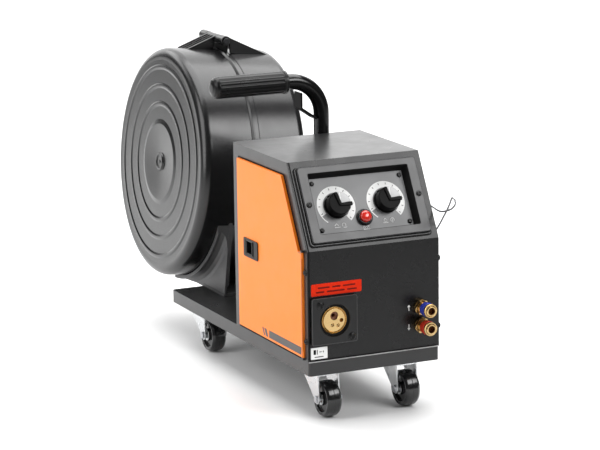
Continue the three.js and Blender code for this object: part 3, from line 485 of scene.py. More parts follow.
BLACK_SCREW = surface("steel", "black screw", (0.005, 0.005, 0.005), 0.28, grain=(900, 0.004),
                      specular=0.3)
MATT_PAINT = surface("tube_paint", "matt black paint", (0.005, 0.005, 0.005), 0.45, grain=(900, 0.006),
                     specular=0.15)
DARK_STEEL = surface("steel", "blackened screw", (0.035, 0.035, 0.037), 0.28, 0.6, grain=(900, 0.004))
HOOK_STEEL = surface("steel", "drawn wire", (0.30, 0.30, 0.31), 0.28, 1.0, grain=(1500, 0.004))
WHITE_PRINT = surface("grey_plastic", "white print", (0.86, 0.86, 0.85), 0.5, grain=(1500, 0.006))
# Matte black for print and black parts, also used for painted shade strips.
MATTE_BLACK_AND_SHADE = surface("black_plastic", "dark print", (0.006, 0.006, 0.006), 0.6, mottle=0.05,
                     grain=(1500, 0.006), specular=0.1)
KNOB_PLASTIC = surface("black_plastic", "knob plastic", (0.003, 0.003, 0.003), 0.34, grain=(1100, 0.006),
                       smudge=0.05, specular=0.05)
RED_LABEL = surface("red_plastic", "red label film", (0.72, 0.024, 0.003), 0.42, specular=0.10,
                    grain=(800, 0.004))
DARK_RED = surface("red_plastic", "dark red print", (0.16, 0.006, 0.002), 0.42, specular=0.12,
                   mottle=0.04, grain=(800, 0.004))
STRIPE = surface("grey_plastic", "grey stripe film", (0.062, 0.055, 0.052), 0.36, grain=(900, 0.004),
                 specular=0.3)
BLUE_BAND = surface("grey_plastic", "blue anodised band", (0.03, 0.045, 0.36), 0.26, 0.3, mottle=0.08)
RED_BAND = surface("red_plastic", "red anodised band", (0.48, 0.03, 0.012), 0.26, 0.3, mottle=0.08)
# Painted shade: a dark reddish brown for the inside of bores, where the brass is in shade.
BORE_SHADE = surface("black_plastic", "dark insulation", (0.17, 0.055, 0.018), 0.45, mottle=0.08)
# Painted shade: a darker orange for the door's shaded edge.
DOOR_EDGE_SHADE = surface("orange_paint", "door edge", (0.42, 0.14, 0.03), 0.5, mottle=0.05, grain=(1500, 0.008))


def wound_wire():
    """Copper-coated wire in close turns along the spool's axle."""
    nodes = Nodes("wound copper wire")
    shader = nodes.shader
    base = nodes.mix(nodes.range(nodes.noise(30), 0.0, 1.0), (0.72, 0.36, 0.17, 1), (0.84, 0.48, 0.26, 1))
    nodes.put(base, shader.inputs["Base Color"])
    shader.inputs["Metallic"].default_value = 1.0
    nodes.put(nodes.range(nodes.noise(80), 0.22, 0.36), shader.inputs["Roughness"])
    turns = nodes.add("TexWave", wave_type="BANDS", bands_direction="X", Scale=175.0, Distortion=0.4)
    nodes.put(nodes.place, turns.inputs["Vector"])
    nodes.put(nodes.bump(turns.outputs["Fac"], 0.5), shader.inputs["Normal"])
    return nodes.material, "wire"


COPPER = wound_wire()


# ---------- screws ----------
def stood(solid, at, facing):
    """A solid made along Z, standing on a point and facing a direction."""
    turn = Vector((0, 0, 1)).rotation_difference(Vector(facing)).to_matrix().to_4x4()
    return moved(solid, Matrix.Translation(at) @ turn)


def pan_screw(at, facing, radius, height):
    """Pan head with a cross recess."""
    head = turned("z", [(0, -0.6), (radius, -0.6), (radius, height * 0.45), (radius * 0.62, height),
                        (0, height)], segments=32, soft=[0, 0, radius * 0.3, radius * 0.4, 0])
    arms = [
        moved(block((-radius * 0.6, radius * 0.6), (-radius * 0.12, radius * 0.12),
                    (height * 0.45, height + 1), 0), Matrix.Rotation(math.pi * i / 2, 4, "Z"))
        for i in range(2)
    ]
    return stood(cut(head, *arms), at, facing)


def hexagon_head(at, facing, across, height):
    corners = circle(across / 2 / math.cos(math.pi / 6), count=6)
    head = inside(prism("xy", corners, 0, height, 0),
                  turned("z", [(0, 0), (across * 0.58, 0), (across * 0.58, height * 0.8),
                               (across * 0.42, height), (0, height)], segments=48, soft=0))
    return stood(head, at, facing)


def add_screws():
    left, right, front, rear, up, down = (-1, 0, 0), (1, 0, 0), (0, -1, 0), (0, 1, 0), (0, 0, 1), (0, 0, -1)
    screws = [pan_screw((side * SIDE, 5, z), facing, 4.2, 3.4)
              for side, facing in ((-1, left), (1, right)) for z in (206.5, 112.5)]
    screws += [pan_screw((SIDE, y, z), right, 3.4, 2.4) for y in (120, 228) for z in (100, 325)]
    piece("housing_screws", gathered(*screws), ROOT, BLACK_SCREW)
    screws = [pan_screw((x, REAR - 0.3, z), rear, 3.4, 2.2) for x in (-88, 88) for z in (96, 215, 333)]
    piece("rear_panel_screws", gathered(*screws), ROOT, DARK_STEEL)
    screws = [pan_screw((x, 63, 4.3), up, 3.9, 2.6) for x in (-81.6, 81.6)]
    piece("bezel_screws", gathered(*screws), ROOT, BLACK_SCREW, SLOPE)
    screws = [pan_screw((x, s, PLATE_TOP), up, 3.4, 2.2) for x in (-65.3, 65.3) for s in (95.5, 29.5)]
    piece("control_plate_screws", gathered(*screws), ROOT, BLACK_SCREW, SLOPE)
    screws = [pan_screw((x, -4.3, z), front, 5.2, 2.6) for x, z in ((-81.8, 162), (-35.6, 115))]
    piece("torch_flange_screws", gathered(*screws), ROOT, BLACK_SCREW)
    bolts = [hexagon_head((x + dx, y + dy, TRAY_UNDERSIDE), down, 7, 3.6)
             for x in (-59, 59) for y in (45, 437) for dx in (-23, 23) for dy in (-19, 19)]
    piece("caster_bolts", gathered(*bolts), ROOT, ZINC)


# ---------- tray and casters ----------
def add_tray():
    softened("tray", "base_tray", ROOT, DARK_PAINT, 0.9, 3)
    # Painted shadow: a black strip in the gap between the front sheet and the tray.
    gap = prism("yz", [(0.5, 84.9), (0.5, 87), (1.3, 87), (1.3, 84.9)], -95, 95, 0)
    piece("tray_front_gap_shadow", gap, ROOT, MATTE_BLACK_AND_SHADE)
    # Painted highlight: a pale strip along the tray's front top edge.
    lip = prism("yz", [(-0.25, 84), (0.6, 84.9), (0.6, 85.2), (-0.35, 84.6)], -98, 98, 0)
    piece("tray_front_highlight", lip, ROOT, PALE_SHEEN)


def add_caster(name, x, axle_y):
    swivel = (x, axle_y + 19)
    axle = (axle_y, 25)
    plate = join(
        block((x - 30, x + 30), (swivel[1] - 26, swivel[1] + 26), (TRAY_UNDERSIDE, 65), 0.5, 5),
        turned("z", [(0, 63), (19.5, 63), (19, 61), (16, 59.4), (0, 59.4)], swivel, soft=[0, 0, 1, 1, 0]),
        turned("z", [(0, 63), (4.6, 63), (4.6, 53), (7.4, 53), (7.4, 56.4), (8, 56.4), (8, 52.6),
                     (6, 51.8), (0, 51.8)], swivel, 48),
    )
    piece(f"{name}_plate", plate, ROOT, ZINC, replaces=[f"{name}_caster_plate"])

    # Pressed fork: a dished crown with a raised race, and two legs that taper towards the axle.
    crown_top = 59
    front, rear = swivel[1] - 22.5, swivel[1] + 22.5
    tip = arc(7, 172, 342, axle, 16)
    outline = [(rear, crown_top), (front, crown_top), *tip, (rear - 1, crown_top - 7)]
    legs = [prism("yz", outline, x + low, x + low + 2.2, 0.5) for low in (-16, 13.8)]
    crown = block((x - 16, x + 16), (front, rear), (crown_top - 2.2, crown_top), 0.6, 7)
    fork = cut(
        join(crown, *legs),
        rod("z", 5.4, (crown_top - 5, crown_top + 5), swivel, 0),
        rod("x", 4.3, (x - 20, x + 20), axle, 0),
    )
    race = turned("z", [(10, 56.9), (14.8, 56.9), (14.4, 54.4), (12, 53.6), (10, 54.4)], swivel, 64,
                  ring=True, soft=0.6)
    piece(f"{name}_fork", gathered(fork, race), f"{name}_swivel", ZINC, replaces=[f"{name}_caster_fork"])

    bolt = gathered(
        rod("x", 4, (x - 16.6, x + 20.2), axle, 0.6, 32),
        hexagon_head((x - 16.1, *axle), (-1, 0, 0), 9, 2.6),
        hexagon_head((x + 16.1, *axle), (1, 0, 0), 11.2, 3.2),
    )
    piece(f"{name}_axle_bolt", bolt, f"{name}_swivel", STEEL, replaces=[f"{name}_caster_axle"])

    # Moulded wheel: crowned tread with a parting line, a dished web with a stepped rim and a hub.
    half = 10.5
    rim = 25

    def side(s):
        return [(9.2, s * half), (9.2, s * (half - 3.4)), (17.2, s * (half - 4)), (18.4, s * (half - 0.8)),
                (20.2, s * (half - 0.8)), (20.8, s * half)]

    profile = [
        (4.4, -half), *side(-1), (rim - 2.4, -half), (rim - 0.35, -half + 3.2), (rim, -3), (rim, -0.5),
        (rim - 0.3, -0.2), (rim - 0.3, 0.2), (rim, 0.5), (rim, 3), (rim - 0.35, half - 3.2),
        (rim - 2.4, half), *reversed(side(1)), (4.4, half),
    ]
    wheel = moved(turned("x", profile, axle, 128, 0.4, ring=True), Matrix.Translation((x, 0, 0)))
    hubs = [
        moved(turned("x", [(4.6, -0.3), (8.4, -0.3), (8.4, 0.35), (7.6, 0.6), (4.6, 0.6)], axle, 64, 0.15,
                     ring=True), Matrix.Translation((x + s * half, 0, 0)) @ Matrix.Scale(s, 4, (1, 0, 0)))
        for s in (-1, 1)
    ]
    for hub in hubs:
        bmesh.ops.recalc_face_normals(hub, faces=hub.faces)
    piece(f"{name}_wheel", wheel, f"{name}_roller", WHEEL_PLASTIC, replaces=[f"{name}_caster_wheel"])
    piece(f"{name}_wheel_bushes", gathered(*hubs), f"{name}_roller", ZINC)


# ---------- housing ----------
def add_housing():
    softened("front_sheet", "front_panel", ROOT, PANEL_PAINT, 0.7, 3)
    # Painted shadow: a black strip along the front sheet's left edge and slope, where the side frame shades
    # it.
    seal = [(0.55, 85), (0.55, 235.3), (60.6, 345.2), (61.8, 345.2), (1.4, 234.6), (1.4, 85)]
    piece("corner_shadow_strip", prism("yz", seal, -96.6, -94.9, 0.2), ROOT, MATTE_BLACK_AND_SHADE)
    # Painted light: a lighter grey overlay on the cover's front flange, which is charcoal paint in shade.
    strip = prism("yz", [(1.5, 85.2), (9.5, 85.2), (9.5, 232.8), (1.5, 232.8)], -98.4, -97.8, 0.1)
    piece("corner_lit_strip", strip, ROOT, BEZEL_PLASTIC_AND_HIGHLIGHT)
    # Painted shadow: black strips in the gaps round the door's rear, top and sloping edges, and along the
    # sill below it.
    groove = [(219.3, 88.5), (223.2, 88.5), (223.2, 328.6), (71.2, 328.6), (18.9, 234), (21, 232.9),
              (72.8, 326.8), (219.3, 326.8)]
    sill_shadow = prism("yz", [(9.8, 85.3), (226, 85.3), (226, 89.2), (9.8, 89.2)], -98.45, -97.8, 0)
    piece("door_gap_shadow", gathered(prism("yz", groove, -98.3, -97.8, 0), sill_shadow), ROOT, MATTE_BLACK_AND_SHADE)
    softened("cover_sheet", "housing_cover", ROOT, DARK_PAINT, 1.5, 4)
    softened("rear_sheet", "rear_panel", ROOT, DARK_PAINT, 0.5)
    softened("partition", "partition_plate", ROOT, GALVANISED, 0.5)


# ---------- controls on the sloping face ----------
def dial_scale(x, s):
    """Printed scale: a broad white band, open at the bottom, with dark ticks."""
    start, full, end = 232, 208, -52
    band = arc(28, end, start, (x, s), 90)
    band += arc(26.6, start, full, (x, s), 8) + arc(19, full, end, (x, s), 80)
    printed = prism("xy", band, PLATE_TOP + 0.02, PLATE_TOP + 0.22, 0.05)
    ticks = []
    for i in range(11):
        angle = math.radians(full - 6 - (full - end - 12) * i / 10)
        out = Vector((math.cos(angle), math.sin(angle)))
        across = Vector((-out.y, out.x)) * 0.42
        near, far = (Vector((x, s)) + out * r for r in (23.4, 26))
        ticks.append(prism("xy", [near - across, far - across, far + across, near + across],
                           PLATE_TOP + 0.2, PLATE_TOP + 0.34, 0))
    return printed, gathered(*ticks)


def knob(x, s):
    """Round knob with a raised wing either side of a pale quarter that carries the pointer line; the pale
    quarter is a painted reflection of the knob's top.
    """
    base, top = PLATE_TOP + 0.5, PLATE_TOP + 16
    r, turn_start, turn_end = 17.6, 2, 100

    def flutes(radius, along, angle):
        groove = math.exp(-((math.degrees(angle) - 133) / 5) ** 2)
        return radius - 2.2 * groove if radius > 12 else radius

    body = turned("z", [(0, base), (r, base), (r, base + 3), (16.6, base + 5), (16, top - 1),
                        (0, top - 1)], (x, s), 192, [0, 0.4, 1.2, 1.2, 1.4, 0], radius_at=flutes)
    centre = Vector((x + 1.2, s - 0.6))
    sector = [centre, *arc(24, turn_start, turn_end, (x, s))]
    notch = prism("xy", sector, base + 9, top + 5, 0)
    wings = [
        prism("xy", [centre + Matrix.Rotation(math.radians(angle), 2) @ Vector(p)
                     for p in ((-3, side * 4), (15.2, side * 5.2), (15.6, 0), (-1, 0))],
              top - 3, top + 1, 0.6)
        for angle, side in ((turn_start, -1), (turn_end, 1))
    ]
    shaft = rod("z", 3, (PLATE_TOP - 14, base + 1), (x, s))
    black = cut(join(body, shaft, *wings), notch)
    # Painted reflection: the pale quarter between the wings stands in for the sheen on the knob's top.
    quarter = [centre + Vector((0.3, 0.3)), *arc(15.9, turn_start + 1, turn_end - 1, (x, s))]
    sheen_quarter = prism("xy", quarter, base + 8.6, top - 2, 0.3)
    along = Matrix.Rotation(math.radians(86), 2)
    line = [centre + along @ Vector(p) for p in ((4, -0.6), (14.6, -0.6), (14.6, 0.6), (4, 0.6))]
    return black, sheen_quarter, prism("xy", line, top - 2.1, top - 1.7, 0.1)


def recess_shade_lining():
    """Painted shade: a dark lining on the bezel's sloping inner walls."""
    levels = [(3.6, (-74.5, 74.5), (20.8, 106.2)), (-8.9, (-70.6, 70.6), (24.1, 102.5))]
    outlines = []
    for inset, order in ((0.05, levels), (0.4, levels[::-1])):
        for z, u, v in order:
            outline = rectangle((u[0] + inset, u[1] - inset), (v[0] + inset, v[1] - inset), 2.2)
            outlines.append([(*point, z) for point in outline])
    return lofted(outlines, closed=True)


def add_controls():
    frame_outline = rectangle((-88.2, 88.2), (9.3, 115.7), 5)
    rim = rectangle((-77.3, 77.3), (17.8, 109), 2)
    wide, narrow = rectangle((-74.8, 74.8), (20.5, 106.5), 2.5), rectangle((-70.6, 70.6), (24, 102.6), 2)
    funnel = lofted([[(*p, 4.4) for p in wide], [(*p, -9.2) for p in narrow]], capped=True)
    bezel = cut(join(prism("xy", frame_outline, 0.3, 4.3, 1.4), prism("xy", rim, -8.7, 1.3, 0)), funnel)
    piece("bezel", bezel, ROOT, BEZEL_PLASTIC_AND_HIGHLIGHT, SLOPE, ["control_bezel"])
    # Painted shadow: a black rim round the bezel, wider at the left and bottom.
    edge = framed("xy", rectangle((-93, 89.4), (4.6, 116.9), 6.5), rectangle((-80, 80), (18.5, 108), 1),
                  (0.05, 0.9), 0.2)
    piece("bezel_shadow_rim", edge, ROOT, MATTE_BLACK_AND_SHADE, SLOPE)
    lip = framed("xy", rectangle((-91, 89.1), (6.5, 116.6), 6), rectangle((-90, 88.4), (7.5, 116), 5.5),
                 (0.1, 1.5), 0.4)
    piece("bezel_lip", lip, ROOT, BEZEL_PLASTIC_AND_HIGHLIGHT, SLOPE)
    # Painted shade inside the bezel's recess.
    piece("bezel_recess_shade", recess_shade_lining(), ROOT, MATTE_BLACK_AND_SHADE, SLOPE)
    x, s = 0, 41.5
    plate = cut(
        prism("xy", rectangle((-77.3, 77.3), (17.8, 109), 0.5), PLATE_TOP - 2, PLATE_TOP, 0.2),
        *[rod("z", 3.4, (PLATE_TOP - 5, PLATE_TOP + 5), (side * DIAL[0], DIAL[1]), 0) for side in (-1, 1)],
        rod("z", 4.4, (PLATE_TOP - 5, PLATE_TOP + 5), (x, s), 0),
    )
    piece("dial_plate", plate, ROOT, GREY_PLASTIC, SLOPE, ["control_plate"])

    for name, side in (("voltage", -1), ("speed", 1)):
        centre = (side * DIAL[0], DIAL[1])
        printed, ticks = dial_scale(*centre)
        piece(f"{name}_scale", printed, ROOT, WHITE_PRINT, SLOPE)
        piece(f"{name}_scale_ticks", ticks, ROOT, MATTE_BLACK_AND_SHADE, SLOPE)
        body, sheen_quarter, line = knob(*centre)
        piece(f"{name}_pointer_knob", body, f"{name}_dial", KNOB_PLASTIC, SLOPE, [f"{name}_knob"])
        piece(f"{name}_pointer_sheen", sheen_quarter, f"{name}_dial", PALE_SHEEN, SLOPE)
        piece(f"{name}_pointer_line", line, f"{name}_dial", WHITE_PRINT, SLOPE)

    ring = shifted([(8.45, 0.3), (11.6, 0.3), (11.6, 2.2), (10.4, 4.6), (8.9, 5), (8.45, 4.4)], PLATE_TOP)
    piece("button_ring", turned("z", ring, (x, s), 96, 0.5, ring=True), ROOT, GLOSS_PLASTIC, SLOPE,
          ["test_button_bezel"])
    foot = PLATE_TOP + 3.6
    curve = [math.pi / 2 * i / 14 for i in range(14)]
    dome = [(0, foot), (8.1, foot), (8.1, foot + 2.4),
            *[(8.1 * math.cos(a), foot + 2.6 + 4.2 * math.sin(a)) for a in curve], (0, foot + 6.8)]
    cap = join(turned("z", dome, (x, s), 96, 0), rod("z", 4, (PLATE_TOP - 8, foot + 1), (x, s)))
    piece("button_cap", cap, "button", RED_PLASTIC, SLOPE, ["test_button"], shading=50)
    add_symbols()


def stroke(points, width=0.7):
    """A line along points, printed on the control plate."""
    pieces = []
    for first, second in zip(points, points[1:]):
        a, b = Vector(first), Vector(second)
        along = (b - a).normalized() * width / 2
        across = Vector((-along.y, along.x))
        corners = [a - along - across, b + along - across, b + along + across, a - along + across]
        pieces.append(prism("xy", corners, PLATE_TOP + 0.02, PLATE_TOP + 0.2, 0))
    return gathered(*pieces)


def add_symbols():
    """Generic marks under the dials and the button: a level line, a turning roll and a wire."""
    def drawn(origin, *lines):
        return [stroke([(origin[0] + u, origin[1] + v) for u, v in line]) for line in lines]

    marks = [
        *drawn((-36, 33.5), [(-9, 1), (-6.6, 3.6), (-4.2, 1)], [(-9.5, -1.6), (-2, -1.6)],
               arc(2.6, -30, 220, (4.2, 1), 12), [(3, -2.4), (7.6, -2.4)]),
        *drawn((36, 33.5), arc(2.2, 0, 360, (-6, 1), 16), [(-9.4, -2.2), (-2.6, -2.2)],
               arc(2.6, -40, 240, (4.4, 0.8), 14), [(4.4, -2.8), (4.4, 2)]),
        stroke([(-4.4, 29.6), (4.4, 29.6)]),
        *[stroke(arc(1.3, 0, 360, (dx, 27.2), 12), 0.6) for dx in (-3, 0, 3)],
        stroke([(-4.4, 24.8), (4.4, 24.8)]),
    ]
    piece("dial_symbols", gathered(*marks), ROOT, WHITE_PRINT, SLOPE)


# ---------- connections on the front ----------
def add_torch_socket():
    x, z = TORCH
    flange = cut(
        prism("xz", rectangle((x - 34, x + 33), (z - 31.8, z + 32.6), 3.4), -4.3, 0.7, 0.9),
        turned("y", [(0, 5), (21.6, 5), (21.6, -3), (22.8, -5), (0, -5)], TORCH, 128, 0),
    )
    piece("torch_flange_plate", flange, ROOT, BLACK_PLASTIC, replaces=["torch_flange"])
    # Painted highlight: a thin lighter outline round the torch flange's edge.
    outline = framed("xz", rectangle((x - 33.9, x + 32.9), (z - 31.7, z + 32.5), 3.3),
                     rectangle((x - 33, x + 32), (z - 30.8, z + 31.6), 2.6), (-4.5, -3.9), 0.2)
    piece("torch_flange_highlight", outline, ROOT, BEZEL_PLASTIC_AND_HIGHLIGHT)
    collar = turned("y", [(18.8, -0.6), (21.3, -2.2), (21.3, 12), (18.8, 12)], TORCH, 128, 0.3, ring=True)
    piece("torch_insulator", collar, ROOT, MATTE_BLACK_AND_SHADE)
    body = join(
        turned("y", [(0, -1.3), (15.6, -1.3), (17.2, 0.6), (18, -1.5), (18.5, -0.9), (18.5, 13), (21, 13),
                     (21, 17), (0, 17)], TORCH, 128, 0.3),
        rod("y", 10, (16, 62), WIRE, 0.6),
    )
    contacts = [(10.5, -1.2), (5.1, -7.6), (-3.1, -6.4)]
    body = cut(
        body,
        turned("y", [(0, 40), (5.5, 40), (5.5, -0.9), (6.3, -2), (0, -2)], WIRE, 64, 0),
        rod("y", 1.8, (30, 70), WIRE, 0, 24),
        *[turned("y", [(0, 9), (2.6, 9), (2.6, -1), (3.1, -2), (0, -2)], (x + dx, z + dz), 40, 0)
          for dx, dz in contacts],
    )
    piece("torch_socket_body", body, ROOT, BRASS, replaces=["torch_socket"])
    # The liner's colour is painted shade inside the wire bore.
    liner = turned("y", [(2.6, 2.2), (5.45, 1.2), (5.45, 12), (2.6, 12)], WIRE, 64, 0.2, ring=True)
    pin = [(1.1, 0.2), (2.55, 0.2), (2.55, 8.9), (0, 8.9), (0, 7.5), (1.1, 7.5)]
    pins = [turned("y", pin, (x + dx, z + dz), 32, 0.15) for dx, dz in contacts[1:]]
    piece("torch_socket_liner", liner, ROOT, BORE_SHADE)
    piece("torch_socket_contacts", gathered(*pins), ROOT, BRASS)


def add_coupler(name, z, band_look):
    at = (69, z)
    nut = inside(
        prism("xz", circle(11.2, at, 6), -9, -4.6, 0),
        turned("y", [(0, -9.1), (9.6, -9.1), (11.3, -8.2), (11.3, -4.5), (0, -4.5)], at, 96, 0),
    )
    barrel = turned(
        "y",
        [(0, 22), (7.8, 22), (7.8, 0.6), (10.4, 0.6), (10.4, -4.8), (7.6, -4.8), (7.4, -13.4), (6.9, -13.8),
         (6.9, -14.8), (7.4, -15.2), (7.4, -32.4), (6.5, -33.4), (0, -33.4)],
        at, 96, 0.3,
    )
    bore = turned("y", [(0, -8), (4.6, -8), (4.6, -32), (5.3, -34), (0, -34)], at, 64, 0)
    piece(f"{name}_coupler", cut(join(barrel, nut), bore), ROOT, BRASS, replaces=[f"{name}_coupler_body"])

    def knurl(radius, along, angle):
        return radius - (0.28 * (0.5 + 0.5 * math.cos(40 * angle)) if radius > 9.1 else 0)

    ring = [(7.75, -31.5), (9, -31.5), (9.6, -30.6), (9.6, -27.6), (8.7, -26.8), (8.7, -15.5),
            (7.75, -15.5)]
    sleeve = turned("y", ring, at, 240, 0.2, ring=True, radius_at=knurl)
    piece(f"{name}_sleeve", sleeve, f"{name}_release", BRASS, replaces=[f"{name}_coupler_sleeve"])
    band = [(8.6, -26), (9.5, -25.6), (9.7, -24.8), (9.7, -17.2), (9.5, -16.4), (8.6, -16)]
    piece(f"{name}_colour_band", turned("y", band, at, 96, 0.2, ring=True), f"{name}_release", band_look)
    # The seal's colour is painted shade deep in the bore.
    seal = turned("y", [(2.2, -24), (4.55, -24), (4.55, -21), (2.2, -21)], at, 48, 0.4, ring=True)
    piece(f"{name}_seal", seal, ROOT, BORE_SHADE)


def add_front_labels():
    # Films stand out from the front sheet's face at Y = 1, with their print in front of them.
    film, ink = (0.68, 0.98), (0.58, 0.7)

    def patch(u, v, radius=0.0, depth=ink, soft=0):
        return prism("xz", rectangle(u, v, radius), *depth, soft)

    piece("red_plate", patch((-93, -18.7), (174, 190.5), 2, film, 0.08), ROOT, RED_LABEL)
    rows = ((184.8, ((-83, -66), (-62, -50), (-46, -28))), (179, ((-86, -74), (-70, -44), (-40, -26))))
    bars = [patch(span, (z - 1.1, z + 1.1), 0.5) for z, spans in rows for span in spans]
    piece("red_plate_bars", gathered(*bars), ROOT, DARK_RED)
    piece("white_plate", patch((-94.5, -70), (88, 104), 0.8, film, 0.08), ROOT, WHITE_PRINT)
    marks = [
        patch((-90.5, -87), (94.5, 101), 0.5),
        patch((-85.5, -84.5), (94.5, 101), 0.3),
        patch((-82, -78.6), (97.2, 98.2), 0.3),
        prism("xz", [(-75.6, 99.4), (-77.2, 97.7), (-75.6, 96)], *ink, 0),
        patch((-89, -76), (90.4, 91.6), 0.3),
    ]
    piece("white_plate_marks", gathered(*marks), ROOT, MATTE_BLACK_AND_SHADE)
    arrows = []
    for z, up in ((141.5, 1), (116.5, -1)):
        tip = z + up * 5
        arrows.append(patch((51.6, 52.6), (z - 3, z + 3), depth=film))
        arrows.append(prism("xz", [(49.8, tip - up * 3), (54.4, tip - up * 3), (52.1, tip)], *film, 0))
    piece("flow_arrows", gathered(*arrows), ROOT, WHITE_PRINT)


def add_supply_socket():
    at = (-6, 180)
    profile = shifted([(0, -22), (12.9, -22), (12.9, 0), (20, 0), (20, 4), (14.5, 4.6), (14.5, 24),
                       (12.5, 24), (12.5, 8), (4, 8), (4, 21), (0, 21)], REAR)

    def thread(radius, along, angle):
        if abs(radius - 14.5) > 0.1 or along < REAR + 6:
            return radius
        return radius - 0.25 * (0.5 + 0.5 * math.cos(18 * angle))

    socket = turned("y", profile, at, 144, 0.5, radius_at=thread)
    piece("supply_inlet", socket, ROOT, BLACK_PLASTIC, replaces=["supply_socket"])
    places = circle(8.2, at, 6)
    pins = [rod("y", 1.1, (REAR + 7.5, REAR + 19), places[i], 0.5, 24) for i in (0, 1, 3, 4, 5)]
    piece("supply_inlet_pins", gathered(*pins), ROOT, BRASS)


# ---------- side door ----------
def add_door():
    softened("door_leaf", "side_door", "door", ORANGE_PAINT, 0.8, 3)
    # Painted shade: a darker orange strip along the door's front and top edges stands in for the shaded
    # edge face.
    edge = [(10.2, 90.4), (10.2, 232.8), (20.6, 232.8), (20.6, 231.4), (12, 231.4), (12, 90.4)]
    edge = prism("yz", edge, DOOR_FACE - 0.25, DOOR_FACE + 0.3, 0.1)
    piece("door_edge_shade", edge, "door", DOOR_EDGE_SHADE)
    bars = [rectangle((14, 118), (93, 103.5), 0.4)]
    bars += [rounded([(y, 93), (y + width, 93), (y + width + 6, 103.5), (y + 6, 103.5)], 0.4)
             for y, width in ((121, 7), (131, 4))]
    stripe = [prism("yz", bar, DOOR_FACE - 0.22, DOOR_FACE - 0.02, 0.05) for bar in bars]
    piece("door_stripe", gathered(*stripe), "door", STRIPE)
    surround = framed("yz", rectangle((149.8, 197), (193, 219.5), 3),
                      rectangle((161, 189.2), (196.8, 217.2), 0.6), (DOOR_FACE - 1.8, DOOR_FACE - 0.3), 0.6)
    piece("latch_surround", surround, "door", LATCH_PLASTIC, replaces=["latch_frame"])
    softened("latch_cup", "latch_slider", "latch", BLACK_PLASTIC, 0.35)


# ---------- handle ----------
def add_handle():
    x, y, z = HANDLE["x"], HANDLE["y"], HANDLE["z"]
    radius, bend = HANDLE["radius"], HANDLE["bend"]
    left, right = HANDLE["left"], HANDLE["right"]
    foot = TRAY_TOP + 0.1
    outside = bent_path([(x, y, foot), (x, y, z), (left + 5, y, z)], bend, 32)
    bore = bent_path([(x, y, foot - 3), (x, y, z), (left, y, z)], bend, 32)
    base = block((x - 28, x + 28), (y - 12.5, y + 15), (foot, foot + 4), 0.8, 3.5)
    weld = shifted([(0, 3), (radius + 3.2, 3), (radius + 2.4, 5.6), (radius, 7.4), (0, 7.4)], foot)
    tube = join(swept(outside, circle(radius, count=48)), base, turned("z", weld, (x, y), 64, 0.6))
    tube = cut(tube, swept(bore, circle(radius - 2, count=32)))
    piece("handle_bar", tube, ROOT, ENAMEL, replaces=["handle_tube"], shading=40)
    bolts = [hexagon_head((x + side * 22, y + 1.2, foot + 4), (0, 0, 1), 8, 3.4) for side in (-1, 1)]
    piece("handle_foot_bolts", gathered(*bolts), ROOT, ZINC)

    # Rubber grip with lengthwise grooves, a domed end and a collar.
    def grooves(r, along, angle):
        if not (left + 9 < along < right - 7 and r > radius + 2):
            return r
        wave = 0.5 + 0.5 * math.cos(11 * angle)
        return r - 1.15 * wave ** 3

    body = shifted([(0, -0.2), (6, 0.2), (11.5, 1.8), (14.2, 4.8), (15.2, 8), (15.2, 8.9), (15.5, 9.6),
                    (15.5, 12)], left)
    body += [(15.5, left + 12 + (right - 7.6 - left - 12) * i / 8) for i in range(1, 9)]
    body += shifted([(15.5, -6.6), (15.2, -6), (15.2, -4.6), (16.4, -3.8), (16.4, -0.6), (15.6, 0),
                     (radius + 0.35, 0)], right)
    body += [(radius + 0.35, left + 4.6), (0, left + 4.6)]
    grip = turned("x", body, (y, z), 220, 0.3, radius_at=grooves)
    piece("grip_sleeve", grip, ROOT, RUBBER, replaces=["handle_grip"], shading=55)
    softened("handle_brace", "handle_strap", ROOT, MATT_PAINT, 0.6)


# ---------- spool drum ----------
def shell_half(side, face, rim, ridges, segments=220):
    """One half of the drum's shell. Its flat face carries raised steps round a dished middle."""
    corner, wall, radius = 14, DRUM_WALL, DRUM_RADIUS
    boss = [(0, -0.6), (2.2, -0.6), (2.8, 0.4), (9.6, 0.3), (10.4, -1.2), (12.8, -1.2), (14.4, 1.6)]
    dish = [(24, 1.1), (38, 0.3), (50, -0.6), (57, -1.0), (64, 0.3)]
    line = [(r, face + side * depth) for r, depth in boss + dish]
    soft = [0] + [0.4] * (len(boss) - 1) + [4] * len(dish)
    for ridge in ridges:
        line += [(ridge + dr, face + side * depth)
                 for dr, depth in ((-4, 0.3), (-1.4, -0.8), (1.4, -0.8), (4, 0.3))]
        soft += [2.4] * 4
    line += [(radius - corner - 4, face + side * 0.3)]
    soft += [0.5]
    centre = face + side * corner
    for i in range(11):
        a = math.pi / 2 * i / 10
        line.append((radius - corner + corner * math.sin(a), centre - side * corner * math.cos(a)))
        soft.append(0)
    line += [(radius, rim - side * 0.2), (radius - wall, rim),
             (radius - wall, face + side * (wall + corner)),
             (radius - wall - 11, face + side * (wall + 2.4)), (0, face + side * (wall + 2.4))]
    soft += [0.6, 0.4, 8, 6, 0]
    return turned("x", line, (0, 0), segments, soft)


def hinge_web(foot, side, y):
    outline = [
        (side * 1.2, HINGE_Z + 7), foot, (foot[0], foot[1] - 3),
        (side * 40, DRUM_RADIUS - 6), (side * 8, DRUM_RADIUS - 2), (side * 6.4, HINGE_Z - 5),
    ]
    return prism("xz", outline, y[0], y[1], 0.5)


def drum_space(side):
    """Room inside the drum: the cover's part on side 1, the case's part on side -1."""
    inner = DRUM_RADIUS - DRUM_WALL
    line = [(0, side * (6 - DRUM_HALF)), (inner - 11, side * (6 - DRUM_HALF)),
            (inner, side * (17 - DRUM_HALF)), (inner, side * SEAM), (0, side * SEAM)]
    return turned("x", line, (0, 0), 120, 0)


